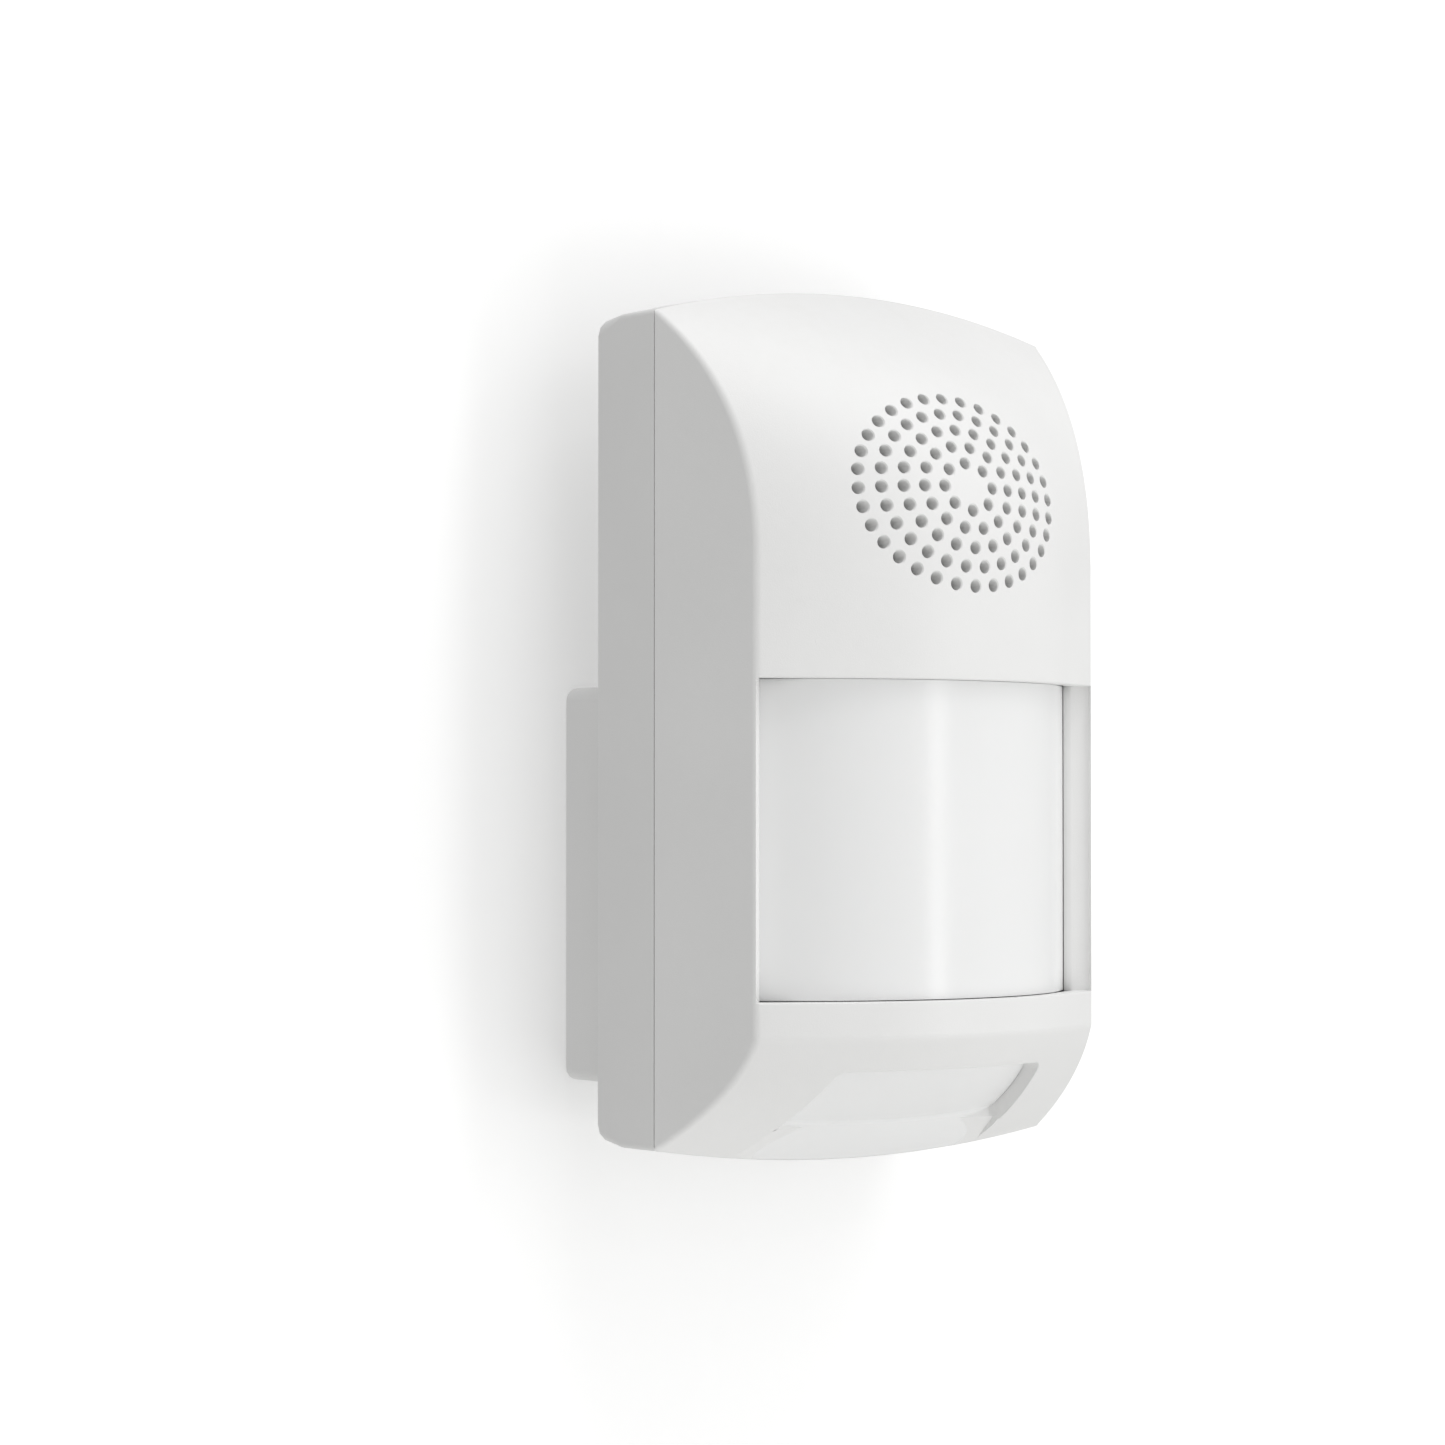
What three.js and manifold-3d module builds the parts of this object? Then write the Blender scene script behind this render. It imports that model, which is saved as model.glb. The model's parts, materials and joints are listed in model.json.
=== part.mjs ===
// Wall-mounted motion sensor with a siren speaker, in millimetres.
// X runs to the right, Z up, and the front faces -Y. The origin is the middle of the wall bracket's
// back face, so the wall is the plane Y = 0.
import * as THREE from "three";
import { mergeVertices } from "three/addons/utils/BufferGeometryUtils.js";
import Module from "manifold-3d";

const wasm = await Module();
wasm.setup();

// ---- Driving dimensions -------------------------------------------------------------------------

const gap = 0.3; // clearance between pieces that touch
const wall = 2; // shell thickness of the cover and of the housing

// Outline where the cover meets the housing.
const seamWidth = 62;
const cornerTop = 69.1; // height of the two upper corners above the origin
const cornerBottom = -31.5; // height of the two lower corners
const archTop = 4.1; // rise of the top edge between its corners
const archBottom = 2.5; // drop of the bottom edge between its corners

// Depths, one behind the other from the wall.
const bracketDepth = 9;
const taperDepth = 5.2; // rear part of the housing, which narrows to its back
const straightDepth = 7; // front part of the housing
const sideDepth = 14.4; // seam to the cover's front edges
const crownRise = 8.5; // how far the front bulges past those edges
const taperInset = 0.6;
const rearCorner = 2.2; // corner radius of the housing's back

// The cover's face.
const sideLean = 4; // how far each side wall leans in by the time it reaches the front
const frontWidth = seamWidth - 2 * sideLean;
const curveStart = cornerTop - 29.7; // height where the upper face starts to curve back
const curveReach = 0.62; // share of the curve's height that its control point takes
const lensTop = 24.7; // upper edge of the lens opening
const lensBottom = -13.5;
const creaseHeight = -17.8; // fold under the lens where the chin turns back
const chinForward = 0.8; // control point of the chin's curve, as a share of its depth
const chinReach = 0.51; // and as a share of its height
const pillarWidth = 1.6; // front face of the two side walls beside the lens

// Speaker grille: rings of holes on an ellipse, tilted with the face.
const grilleHeight = cornerTop - 21.1;
const grilleTilt = THREE.MathUtils.degToRad(15);
const grilleWidth = 30.4; // outermost ring, hole centre to hole centre
const grilleTall = 23.8;
const grilleHole = 1.5; // diameter
const ringCounts = [8, 14, 20, 26, 32];
const innerRingShare = 4 / 16; // radius of the innermost ring as a share of the outermost

// Lens and look-down window.
const lensWidth = frontWidth - 2 * pillarWidth - 1;
const lensRadius = 0.703 * lensWidth;
const lensThickness = 0.8;
const lensRecess = wall - 0.8; // behind the cover's face at the middle
const windowTop = -21.9;
const windowTopWidth = 32;
const windowBottomWidth = 38;
const windowRear = 5.5; // the window stops this far in front of the seam
const windowRecess = 2.1; // how deep the look-down lens lies under the chin
const rimWidth = 1.2; // wall round the window

// Wall bracket.
const bracketWidth = seamWidth - 5;
const bracketHeight = 48.6;
const bracketCorner = 1.6;
const hookSpread = 12; // sideways place of the hooks
const hookHeights = [8, -14];
const stemSize = 4;
const hookHead = { width: 6.4, height: 5, depth: 1.5 };
const liftTravel = 8.5; // how far the housing lifts to come off its hooks

// Circuit board.
const board = {
  width: seamWidth - 12,
  bottom: -19.5,
  top: cornerTop - 30.1,
  thickness: 1.6,
  standoff: 2.5,
};
const boardScrews = [
  [3 - board.width / 2, board.top - 3],
  [board.width / 2 - 3, board.bottom + 5.5],
];
const sensorHeight = (lensTop + lensBottom) / 2;

// Batteries, two lying across the top of the housing.
const cell = { radius: 5.25, length: 44.5, first: cornerTop - 21.5, pitch: 11.3 };
const trayWall = 1;

// Speaker, measured along its own axis from the face of the cover.
const speakerSink = 0.1834; // behind the wall, as a share of the depth in front of the seam
const speakerFront = wall + speakerSink * (sideDepth + crownRise);
const speakerRadius = 14.6;
const ringScrewRadius = speakerRadius + 2.8;
const ringScrewAngles = [30, 150, 270];

// Posts inside the cover and the travel of what they and fingers press.
const tamperSpot = [-19, 29];
const terminalPosts = { x: 9.5, z: 29.5, radius: 1.3 };
const postReach = 6; // the posts end this far in front of the seam
const tamperTravel = 1.5;
const learnTravel = 0.5;
const sliderTravel = 3;

// Where cover and housing meet: an inner lip, two hinge tongues at the top, one screw below.
const rimInset = wall + 1.5;
const rimThickness = 1;
const rimHeight = 1;
const seamCorner = 0.8;
const hinge = { inner: 2.8, outer: 4.2, width: 6, spread: 8, from: 58, to: 118 };
const clampWidth = 8;
const forkThickness = 1.8;
const forkRise = 4.5; // top of the cover's fork above the inside of its bottom wall
const caseScrew = { head: 2.5, headHeight: 1.7, shank: 1.1, reach: 5, setBack: 4 };

// ---- Places that follow from them ---------------------------------------------------------------

const rearY = -bracketDepth - gap; // back face of the housing
const kinkY = rearY - taperDepth;
const seamY = kinkY - straightDepth;
const rearInnerY = rearY - wall;
const frontDepth = sideDepth + crownRise; // seam to the middle of the front
const frontY = seamY - frontDepth;
const draft = sideLean / sideDepth;
const boardBackY = rearInnerY - board.standoff - gap;
const boardFrontY = boardBackY - board.thickness;
const partsY = boardFrontY - gap; // where the parts on the board start
const lensFrontY = frontY + lensRecess;
const postEndY = seamY - postReach;
const clampY = seamY + caseScrew.setBack;
const forkTop = cornerBottom - archBottom + wall + forkRise;
const hingeAxis = { y: seamY, z: cornerTop + archTop };

// ---- Colours ------------------------------------------------------------------------------------

const white = { color: 0xeeeeec, roughness: 0.5, metalness: 0 };
const milky = { color: 0xf3f3f1, roughness: 0.35, metalness: 0 };
const boardGreen = { color: 0x1f6b43, roughness: 0.5, metalness: 0 };
const black = { color: 0x1c1c1e, roughness: 0.6, metalness: 0 };
const grey = { color: 0x77797c, roughness: 0.6, metalness: 0 };
const steel = { color: 0xc4c6c8, roughness: 0.3, metalness: 1 };
const tin = { color: 0xb9bbbd, roughness: 0.4, metalness: 1 };
const copper = { color: 0xb87745, roughness: 0.35, metalness: 1 };
const foam = { color: 0x2a2a2c, roughness: 0.95, metalness: 0 };
const cellGreen = { color: 0x2d8a57, roughness: 0.35, metalness: 0 };
const glassy = { color: 0x4a2f35, roughness: 0.15, metalness: 0 };
const ledGreen = { color: 0x4fc46a, roughness: 0.25, metalness: 0 };
const cream = { color: 0xd9d4c4, roughness: 0.6, metalness: 0 };

// ---- Solids -------------------------------------------------------------------------------------

const root = new THREE.Group();

// A closed geometry as a solid that can be joined and cut.
function solid(geometry) {
  const bare = geometry.clone();
  bare.deleteAttribute("normal");
  bare.deleteAttribute("uv");
  const merged = mergeVertices(bare, 1e-4);
  return new wasm.Manifold(
    new wasm.Mesh({
      numProp: 3,
      vertProperties: merged.attributes.position.array,
      triVerts: new Uint32Array(merged.index.array),
    }),
  );
}

function geometryOf(made) {
  const mesh = made.getMesh();
  const geometry = new THREE.BufferGeometry();
  geometry.setAttribute("position", new THREE.BufferAttribute(mesh.vertProperties, 3));
  geometry.setIndex(new THREE.BufferAttribute(mesh.triVerts, 1));
  return geometry;
}

function addPiece(name, made, finish, group = root) {
  const mesh = new THREE.Mesh(geometryOf(made), new THREE.MeshStandardMaterial(finish));
  mesh.name = name;
  group.add(mesh);
  return mesh;
}

function joined(solids) {
  return solids.reduce((all, next) => all.add(next));
}

function box(x, y, z) {
  const shape = new THREE.BoxGeometry(x[1] - x[0], y[1] - y[0], z[1] - z[0]);
  return solid(shape.translate((x[0] + x[1]) / 2, (y[0] + y[1]) / 2, (z[0] + z[1]) / 2));
}

// A box centred on (x, z) that stands from y0 to y1.
function block(x, z, width, height, y0, y1) {
  return box(
    [x - width / 2, x + width / 2],
    [Math.min(y0, y1), Math.max(y0, y1)],
    [z - height / 2, z + height / 2],
  );
}

// A round bar along Y.
function rod(x, z, radius, y0, y1, sides = 20) {
  const shape = new THREE.CylinderGeometry(radius, radius, Math.abs(y1 - y0), sides);
  return solid(shape.translate(x, (y0 + y1) / 2, z));
}

// A round bar along Z.
function upright(x, y, radius, z0, z1, sides = 20) {
  const shape = new THREE.CylinderGeometry(radius, radius, Math.abs(z1 - z0), sides);
  return solid(shape.rotateX(Math.PI / 2).translate(x, y, (z0 + z1) / 2));
}

// A turned piece about the Y axis. Its outline is [radius, y] pairs, anticlockwise from the axis.
function turned(outline, sides = 24) {
  const points = outline.map(([radius, y]) => new THREE.Vector2(radius, y));
  return solid(new THREE.LatheGeometry(points, sides));
}

function ringOutline(inner, outer, y0, y1) {
  return [
    [inner, y0],
    [outer, y0],
    [outer, y1],
    [inner, y1],
    [inner, y0],
  ];
}

// A flat outline in X and Z, carried along Y.
function plate(points, y0, y1) {
  const shape = new THREE.Shape(points.map(([x, z]) => new THREE.Vector2(x, z)));
  const made = new THREE.ExtrudeGeometry(shape, { depth: Math.abs(y1 - y0), bevelEnabled: false });
  return solid(made.rotateX(Math.PI / 2).translate(0, Math.max(y0, y1), 0));
}

// A skin over a row of closed loops with equal counts, closed at both ends by a fan to its middle.
function loft(loops) {
  const count = loops[0].length;
  const positions = loops.flat().flatMap((p) => [p.x, p.y, p.z]);
  const index = [];
  for (let row = 0; row + 1 < loops.length; row++) {
    for (let i = 0; i < count; i++) {
      const a = row * count + i;
      const b = row * count + ((i + 1) % count);
      index.push(a, b, b + count, a, b + count, a + count);
    }
  }
  [loops[0], loops[loops.length - 1]].forEach((loop, end) => {
    const middle = loop.reduce((sum, p) => sum.add(p), new THREE.Vector3()).divideScalar(count);
    const hub = positions.length / 3;
    const first = end === 0 ? 0 : (loops.length - 1) * count;
    positions.push(middle.x, middle.y, middle.z);
    for (let i = 0; i < count; i++) {
      const a = first + i;
      const b = first + ((i + 1) % count);
      index.push(...(end === 0 ? [hub, b, a] : [hub, a, b]));
    }
  });
  const geometry = new THREE.BufferGeometry();
  geometry.setAttribute("position", new THREE.Float32BufferAttribute(positions, 3));
  geometry.setIndex(index);
  const made = solid(geometry);
  if (made.volume() > 0) return made;
  const flipped = [];
  for (let i = 0; i < index.length; i += 3) flipped.push(index[i], index[i + 2], index[i + 1]);
  geometry.setIndex(flipped);
  return solid(geometry);
}

// A wire along a curve.
function wire(curve, radius, steps, sides = 6) {
  const points = [];
  for (let i = 0; i < sides; i++) {
    const turn = (i / sides) * 2 * Math.PI;
    points.push(new THREE.Vector2(radius * Math.cos(turn), radius * Math.sin(turn)));
  }
  const settings = { steps, extrudePath: curve, bevelEnabled: false };
  return solid(new THREE.ExtrudeGeometry(new THREE.Shape(points), settings));
}

// A helix along Y from y0 to y1 whose radius runs from r0 to r1.
class Coil extends THREE.Curve {
  constructor(y0, y1, r0, r1, turns) {
    super();
    this.ends = { y0, y1, r0, r1, turns };
  }
  getPoint(t, target = new THREE.Vector3()) {
    const { y0, y1, r0, r1, turns } = this.ends;
    const radius = r0 + (r1 - r0) * t;
    const turn = 2 * Math.PI * turns * t;
    return target.set(radius * Math.cos(turn), y0 + (y1 - y0) * t, radius * Math.sin(turn));
  }
}

// ---- The outer form -----------------------------------------------------------------------------

// Height of a shallow arc of this rise over a chord of this half width.
function arc(x, half, rise) {
  const radius = (half * half + rise * rise) / (2 * rise);
  return Math.sqrt(radius * radius - x * x) - (radius - rise);
}

function bezier(a, control, b, t) {
  return (1 - t) * (1 - t) * a + 2 * t * (1 - t) * control + t * t * b;
}

// One upright slice through the cover's form, from the seam's bottom round the front to its top.
// share runs from -1 at the left wall to 1 at the right, inset moves the skin inwards, and back
// carries the form that far behind the seam.
function coverSlice(share, inset, back) {
  const half = seamWidth / 2;
  const depth = sideDepth + crownRise * (1 - share * share) - inset;
  const top = cornerTop + arc(share * half, half, archTop) - inset;
  const bottom = cornerBottom - arc(share * half, half, archBottom) + inset;
  const chinSteps = 5;
  const topSteps = 9;
  const profile = [];
  for (let i = 0; i <= chinSteps; i++) {
    const t = i / chinSteps;
    const height = bezier(bottom, creaseHeight + (bottom - creaseHeight) * chinReach, creaseHeight, t);
    profile.push([bezier(0, chinForward, 1, t), height]);
  }
  for (let i = 0; i <= topSteps; i++) {
    const t = i / topSteps;
    const reach = curveStart + (top - curveStart) * curveReach;
    profile.push([bezier(1, 1, 0, t), bezier(curveStart, reach, top, t)]);
  }
  const points = profile.map(([forward, height]) => {
    const ahead = forward * depth;
    return new THREE.Vector3(share * (half - inset - draft * ahead), seamY - ahead, height);
  });
  if (back === 0) return points;
  const foot = points[0].clone().setY(seamY + back);
  const head = points[points.length - 1].clone().setY(seamY + back);
  return [foot, ...points, head];
}

function coverForm(inset, back = 0) {
  const slices = 12;
  const loops = [];
  for (let i = 0; i <= slices; i++) loops.push(coverSlice((2 * i) / slices - 1, inset, back));
  return loft(loops);
}

// The seam's outline, inset, with rounded corners, as a loop at one depth.
function outline(inset, corner, y) {
  const half = seamWidth / 2 - inset;
  const sweep = 12;
  const round = 3;
  const loop = [];
  const edge = (side, from, to) => {
    for (let i = 0; i <= sweep; i++) {
      const x = from + ((to - from) * i) / sweep;
      const rise = side > 0 ? arc(x, seamWidth / 2, archTop) : -arc(x, seamWidth / 2, archBottom);
      const level = side > 0 ? cornerTop : cornerBottom;
      loop.push(new THREE.Vector3(x, y, level + rise - side * inset));
    }
  };
  const turn = (side, x, fromAngle) => {
    const level = side > 0 ? cornerTop : cornerBottom;
    for (let i = 1; i < round; i++) {
      const angle = fromAngle + (i / round) * (Math.PI / 2);
      const rise = side * arc(half - corner, seamWidth / 2, side > 0 ? archTop : archBottom);
      const z = level + rise - side * (inset + corner) + corner * Math.sin(angle);
      loop.push(new THREE.Vector3(x + corner * Math.cos(angle), y, z));
    }
  };
  const inner = half - corner;
  const sideZ = (side) => {
    const rise = arc(inner, seamWidth / 2, side > 0 ? archTop : archBottom);
    return (side > 0 ? cornerTop : cornerBottom) + side * (rise - inset - corner);
  };
  edge(-1, -inner, inner);
  turn(-1, inner, -Math.PI / 2);
  loop.push(new THREE.Vector3(half, y, sideZ(-1)));
  loop.push(new THREE.Vector3(half, y, sideZ(1)));
  turn(1, inner, 0);
  edge(1, inner, -inner);
  turn(1, -inner, Math.PI / 2);
  loop.push(new THREE.Vector3(-half, y, sideZ(1)));
  loop.push(new THREE.Vector3(-half, y, sideZ(-1)));
  turn(-1, -inner, Math.PI);
  return loop;
}

// ---- Wall bracket -------------------------------------------------------------------------------

function wallBracket() {
  const w = bracketWidth / 2;
  const h = bracketHeight / 2;
  const c = bracketCorner;
  const corners = [
    [w - c, h - c, 0],
    [c - w, h - c, 90],
    [c - w, c - h, 180],
    [w - c, c - h, 270],
  ];
  const steps = 4;
  const points = corners.flatMap(([x, z, start]) =>
    Array.from({ length: steps + 1 }, (_, i) => {
      const angle = THREE.MathUtils.degToRad(start + (90 * i) / steps);
      return [x + c * Math.cos(angle), z + c * Math.sin(angle)];
    }),
  );
  let made = plate(points, 0, -bracketDepth);
  const spine = 8; // half width of the solid middle
  const rib = 1.6;
  const columns = 2;
  const rows = 4;
  const columnWidth = (w - wall - spine - rib * (columns - 1)) / columns;
  const rowHeight = (bracketHeight - 2 * wall - rib * (rows - 1)) / rows;
  for (let column = 0; column < columns; column++) {
    for (let row = 0; row < rows; row++) {
      const x = spine + columnWidth / 2 + column * (columnWidth + rib);
      const z = -h + wall + rowHeight / 2 + row * (rowHeight + rib);
      for (const side of [-1, 1]) {
        made = made.subtract(block(side * x, z, columnWidth, rowHeight, 1, wall - bracketDepth));
      }
    }
  }
  const slotWidth = 3.8;
  const slotLength = 7;
  const headRadius = 4;
  const headDepth = 3;
  for (const side of [-1, 1]) {
    const z = (side * bracketHeight) / 3.2;
    const slot = block(0, z, slotWidth, slotLength - slotWidth, 1, -bracketDepth - 1)
      .add(rod(0, z + (slotLength - slotWidth) / 2, slotWidth / 2, 1, -bracketDepth - 1))
      .add(rod(0, z - (slotLength - slotWidth) / 2, slotWidth / 2, 1, -bracketDepth - 1));
    const counterbore = rod(0, z, headRadius, headDepth - bracketDepth, -bracketDepth - 1, 24);
    made = made.subtract(slot).subtract(counterbore);
  }
  const headY = rearInnerY - gap;
  for (const z of hookHeights) {
    for (const side of [-1, 1]) {
      const x = side * hookSpread;
      made = made.add(block(x, z, stemSize, stemSize, wall / 2 - bracketDepth, headY));
      made = made.add(block(x, z, hookHead.width, hookHead.height, headY, headY - hookHead.depth));
    }
  }
  addPiece("wall_bracket", made, white);
}

// ---- Rear housing -------------------------------------------------------------------------------

// A sector of a ring about the hinge axis. Angles are in degrees from straight back towards down.
function hingeSector(x, width, inner, outer, from, to) {
  const steps = 6;
  const points = [];
  const at = (radius, angle) => {
    const turn = THREE.MathUtils.degToRad(angle);
    const y = hingeAxis.y + radius * Math.cos(turn);
    const z = hingeAxis.z - radius * Math.sin(turn);
    return new THREE.Vector2(y, z);
  };
  for (let i = 0; i <= steps; i++) points.push(at(outer, from + ((to - from) * i) / steps));
  for (let i = steps; i >= 0; i--) points.push(at(inner, from + ((to - from) * i) / steps));
  const made = new THREE.ExtrudeGeometry(new THREE.Shape(points), { depth: width, bevelEnabled: false });
  made.applyMatrix4(new THREE.Matrix4().set(0, 0, 1, x - width / 2, 1, 0, 0, 0, 0, 1, 0, 0, 0, 0, 0, 1));
  return solid(made);
}

function rearHousing() {
  const front = seamY + gap / 2;
  let made = loft([
    outline(0, seamCorner, front),
    outline(0, seamCorner, kinkY),
    outline(taperInset, rearCorner, rearY),
  ]);
  made = made.subtract(
    loft([outline(wall, seamCorner, seamY - 1), outline(wall + taperInset, seamCorner, rearInnerY)]),
  );
  const ledge = 1.6;
  const rimFoot = loft([
    outline(wall - 0.4, seamCorner, front),
    outline(wall - 0.4, seamCorner, front + ledge),
  ]);
  const rimLip = loft([
    outline(rimInset, seamCorner, front - rimHeight),
    outline(rimInset, seamCorner, front + 0.5),
  ]);
  const rimOuter = rimFoot.add(rimLip);
  const rimInner = loft([
    outline(rimInset + rimThickness, seamCorner, front - 2 * rimHeight),
    outline(rimInset + rimThickness, seamCorner, front + 2 * ledge),
  ]);
  made = made.add(rimOuter.subtract(rimInner));
  for (const [x, z] of boardScrews) {
    made = made.add(rod(x, z, 2.8, rearInnerY + wall / 2, boardBackY + gap));
    made = made.subtract(rod(x, z, 1.2, rearInnerY - 0.2, boardBackY, 12));
  }
  for (const z of hookHeights) {
    for (const side of [-1, 1]) {
      const x = side * hookSpread;
      const slotTop = z + stemSize / 2 + gap;
      const slotBottom = z - liftTravel;
      const slotWidth = stemSize + 2 * gap;
      made = made.subtract(
        box([x - slotWidth / 2, x + slotWidth / 2], [rearInnerY - 1, rearY + 1], [slotBottom, slotTop]),
      );
      const mouthWidth = hookHead.width + 2 * gap;
      const mouthHeight = hookHead.height + 2 * gap;
      made = made.subtract(block(x, slotBottom, mouthWidth, mouthHeight, rearInnerY - 1, rearY + 1));
    }
  }
  const bossBottom = forkTop + gap;
  const boss = box(
    [-clampWidth / 2, clampWidth / 2],
    [clampY - 3, rearInnerY + wall / 2],
    [bossBottom, bossBottom + caseScrew.reach + 1],
  );
  made = made.add(boss);
  made = made.subtract(
    upright(0, clampY, caseScrew.shank + gap, bossBottom - 1, bossBottom + caseScrew.reach, 12),
  );
  const access = caseScrew.head + 2 * gap;
  const underside = cornerBottom - archBottom;
  made = made.subtract(upright(0, clampY, access, underside - 1, forkTop - forkThickness));
  for (const side of [-1, 1]) {
    const width = hinge.width + 2 * gap;
    const x = side * hinge.spread;
    const { inner, outer, from, to } = hinge;
    made = made.subtract(hingeSector(x, width, inner - gap, outer + gap, from - 6, to + 7));
  }
  addPiece("rear_housing", made, white);
}

// ---- Front cover --------------------------------------------------------------------------------

function grilleRadii(ring) {
  const share = innerRingShare + ((1 - innerRingShare) * ring) / (ringCounts.length - 1);
  return [(share * grilleWidth) / 2, (share * grilleTall) / 2];
}

// How far the cover's face lies in front of the seam at its middle, at this height.
function faceDepth(height) {
  const top = cornerTop + archTop;
  const reach = curveStart + (top - curveStart) * curveReach;
  if (height <= curveStart) return frontDepth;
  let low = 0;
  let high = 1;
  for (let i = 0; i < 30; i++) {
    const t = (low + high) / 2;
    if (bezier(curveStart, reach, top, t) < height) low = t;
    else high = t;
  }
  return bezier(1, 1, 0, low) * frontDepth;
}

// The speaker's own frame: its origin on the face, its +Y pointing into the cover.
const speakerPlace = new THREE.Group();
speakerPlace.position.set(0, seamY - faceDepth(grilleHeight), grilleHeight);
speakerPlace.rotation.x = -grilleTilt;
root.add(speakerPlace);
speakerPlace.updateMatrixWorld(true);

function inSpeakerFrame(made) {
  return solid(geometryOf(made).applyMatrix4(speakerPlace.matrixWorld));
}

function ringScrewSpots() {
  return ringScrewAngles.map((degrees) => {
    const angle = THREE.MathUtils.degToRad(degrees);
    return [ringScrewRadius * Math.cos(angle), ringScrewRadius * Math.sin(angle)];
  });
}

function grilleHoles() {
  const holes = [];
  ringCounts.forEach((count, ring) => {
    const [across, up] = grilleRadii(ring);
    for (let i = 0; i < count; i++) {
      const angle = (2 * Math.PI * i) / count;
      const x = across * Math.cos(angle);
      const z = up * Math.sin(angle);
      holes.push(rod(x, z, grilleHole / 2, -3, 5, 5));
    }
  });
  return inSpeakerFrame(joined(holes));
}

function windowOutline(spread) {
  const bottom = cornerBottom - archBottom - 4;
  const slope = (windowBottomWidth - windowTopWidth) / 2 / (windowTop - cornerBottom);
  const topHalf = windowTopWidth / 2 + spread;
  const bottomHalf = topHalf + slope * (windowTop + spread - bottom);
  return [
    [-topHalf, windowTop + spread],
    [-bottomHalf, bottom],
    [bottomHalf, bottom],
    [topHalf, windowTop + spread],
  ];
}

function frontCover() {
  const outer = coverForm(0).subtract(
    box([-seamWidth, seamWidth], [seamY - gap / 2, seamY + 1], [cornerBottom - 9, cornerTop + 9]),
  );
  let made = outer.subtract(coverForm(wall, 2));
  const rimDepth = windowRecess + 1.6;
  const windowY = [seamY - windowRear, frontY - 5];
  const rim = outer
    .intersect(plate(windowOutline(rimWidth), seamY - windowRear + rimWidth, windowY[1]))
    .subtract(coverForm(rimDepth, 2));
  made = made.add(rim).subtract(plate(windowOutline(0), ...windowY));
  const openingHalf = frontWidth / 2 - pillarWidth;
  made = made.subtract(
    box([-openingHalf, openingHalf], [frontY - 5, seamY - sideDepth / 2], [lensBottom, lensTop]),
  );
  const posts = [rod(...tamperSpot, 1.5, postEndY, frontY, 12)];
  for (const side of [-1, 1]) {
    const { x, z, radius } = terminalPosts;
    posts.push(rod(side * x, z, radius, postEndY, frontY, 12));
  }
  const bosses = ringScrewSpots().map(([x, z]) => rod(x, z, 2.1, 0, speakerFront + 1, 14));
  made = made.add(joined(posts).add(inSpeakerFrame(joined(bosses))).intersect(outer));
  const screwHoles = ringScrewSpots().map(([x, z]) => rod(x, z, 1.2, speakerFront - 0.4, 20, 10));
  made = made.subtract(inSpeakerFrame(joined(screwHoles)));
  const forkBottom = forkTop - forkThickness;
  const forkEnd = seamY + 7;
  const neckY = seamY - rimHeight - 0.6;
  const neck = box(
    [-clampWidth / 2, clampWidth / 2],
    [neckY - 3.4, neckY],
    [cornerBottom - archBottom + wall / 2, forkTop],
  );
  const fork = box([-clampWidth / 2, clampWidth / 2], [neckY - 3.4, forkEnd], [forkBottom, forkTop]);
  const slotHalf = caseScrew.shank + gap;
  const slot = upright(0, clampY, slotHalf, forkBottom - 1, forkTop + 1, 12).add(
    box([-slotHalf, slotHalf], [clampY, forkEnd + 1], [forkBottom - 1, forkTop + 1]),
  );
  made = made.add(neck.intersect(outer)).add(fork).subtract(slot);
  for (const side of [-1, 1]) {
    const { inner, outer, from, to } = hinge;
    made = made.add(hingeSector(side * hinge.spread, hinge.width, inner, outer, from, to));
  }
  made = made.subtract(grilleHoles());
  addPiece("front_cover", made, white);
}

// ---- Lenses -------------------------------------------------------------------------------------

// An upright sheet bent on a vertical axis, its outer face at lensFrontY + inset.
function bentSheet(inset, thickness, width, z0, z1) {
  const axisY = lensFrontY + lensRadius;
  const outerRadius = lensRadius - inset;
  const steps = 20;
  const reach = Math.asin(width / 2 / outerRadius);
  const points = [];
  const at = (radius, step) => {
    const angle = reach * ((2 * step) / steps - 1);
    return [radius * Math.sin(angle), axisY - radius * Math.cos(angle)];
  };
  for (let i = 0; i <= steps; i++) points.push(at(outerRadius, i));
  for (let i = steps; i >= 0; i--) points.push(at(outerRadius - thickness, i));
  const shape = new THREE.Shape(points.map(([x, y]) => new THREE.Vector2(x, y)));
  const made = new THREE.ExtrudeGeometry(shape, { depth: z1 - z0, bevelEnabled: false });
  return solid(made.translate(0, 0, z0));
}

function fresnelLens() {
  addPiece("fresnel_lens", bentSheet(0, lensThickness, lensWidth, lensBottom + gap, lensTop - gap), milky);
}

function lensRetainer() {
  const overlap = 1.8;
  const frame = 2.2;
  const inset = lensThickness + gap;
  const thickness = 1.5;
  const width = lensWidth - 1.4;
  const made = bentSheet(inset, thickness, width, lensBottom - overlap, lensTop + overlap);
  const opening = box(
    [-width / 2 + frame, width / 2 - frame],
    [frontY, seamY],
    [lensBottom + frame, lensTop - frame],
  );
  addPiece("lens_retainer", made.subtract(opening), white);
}

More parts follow.
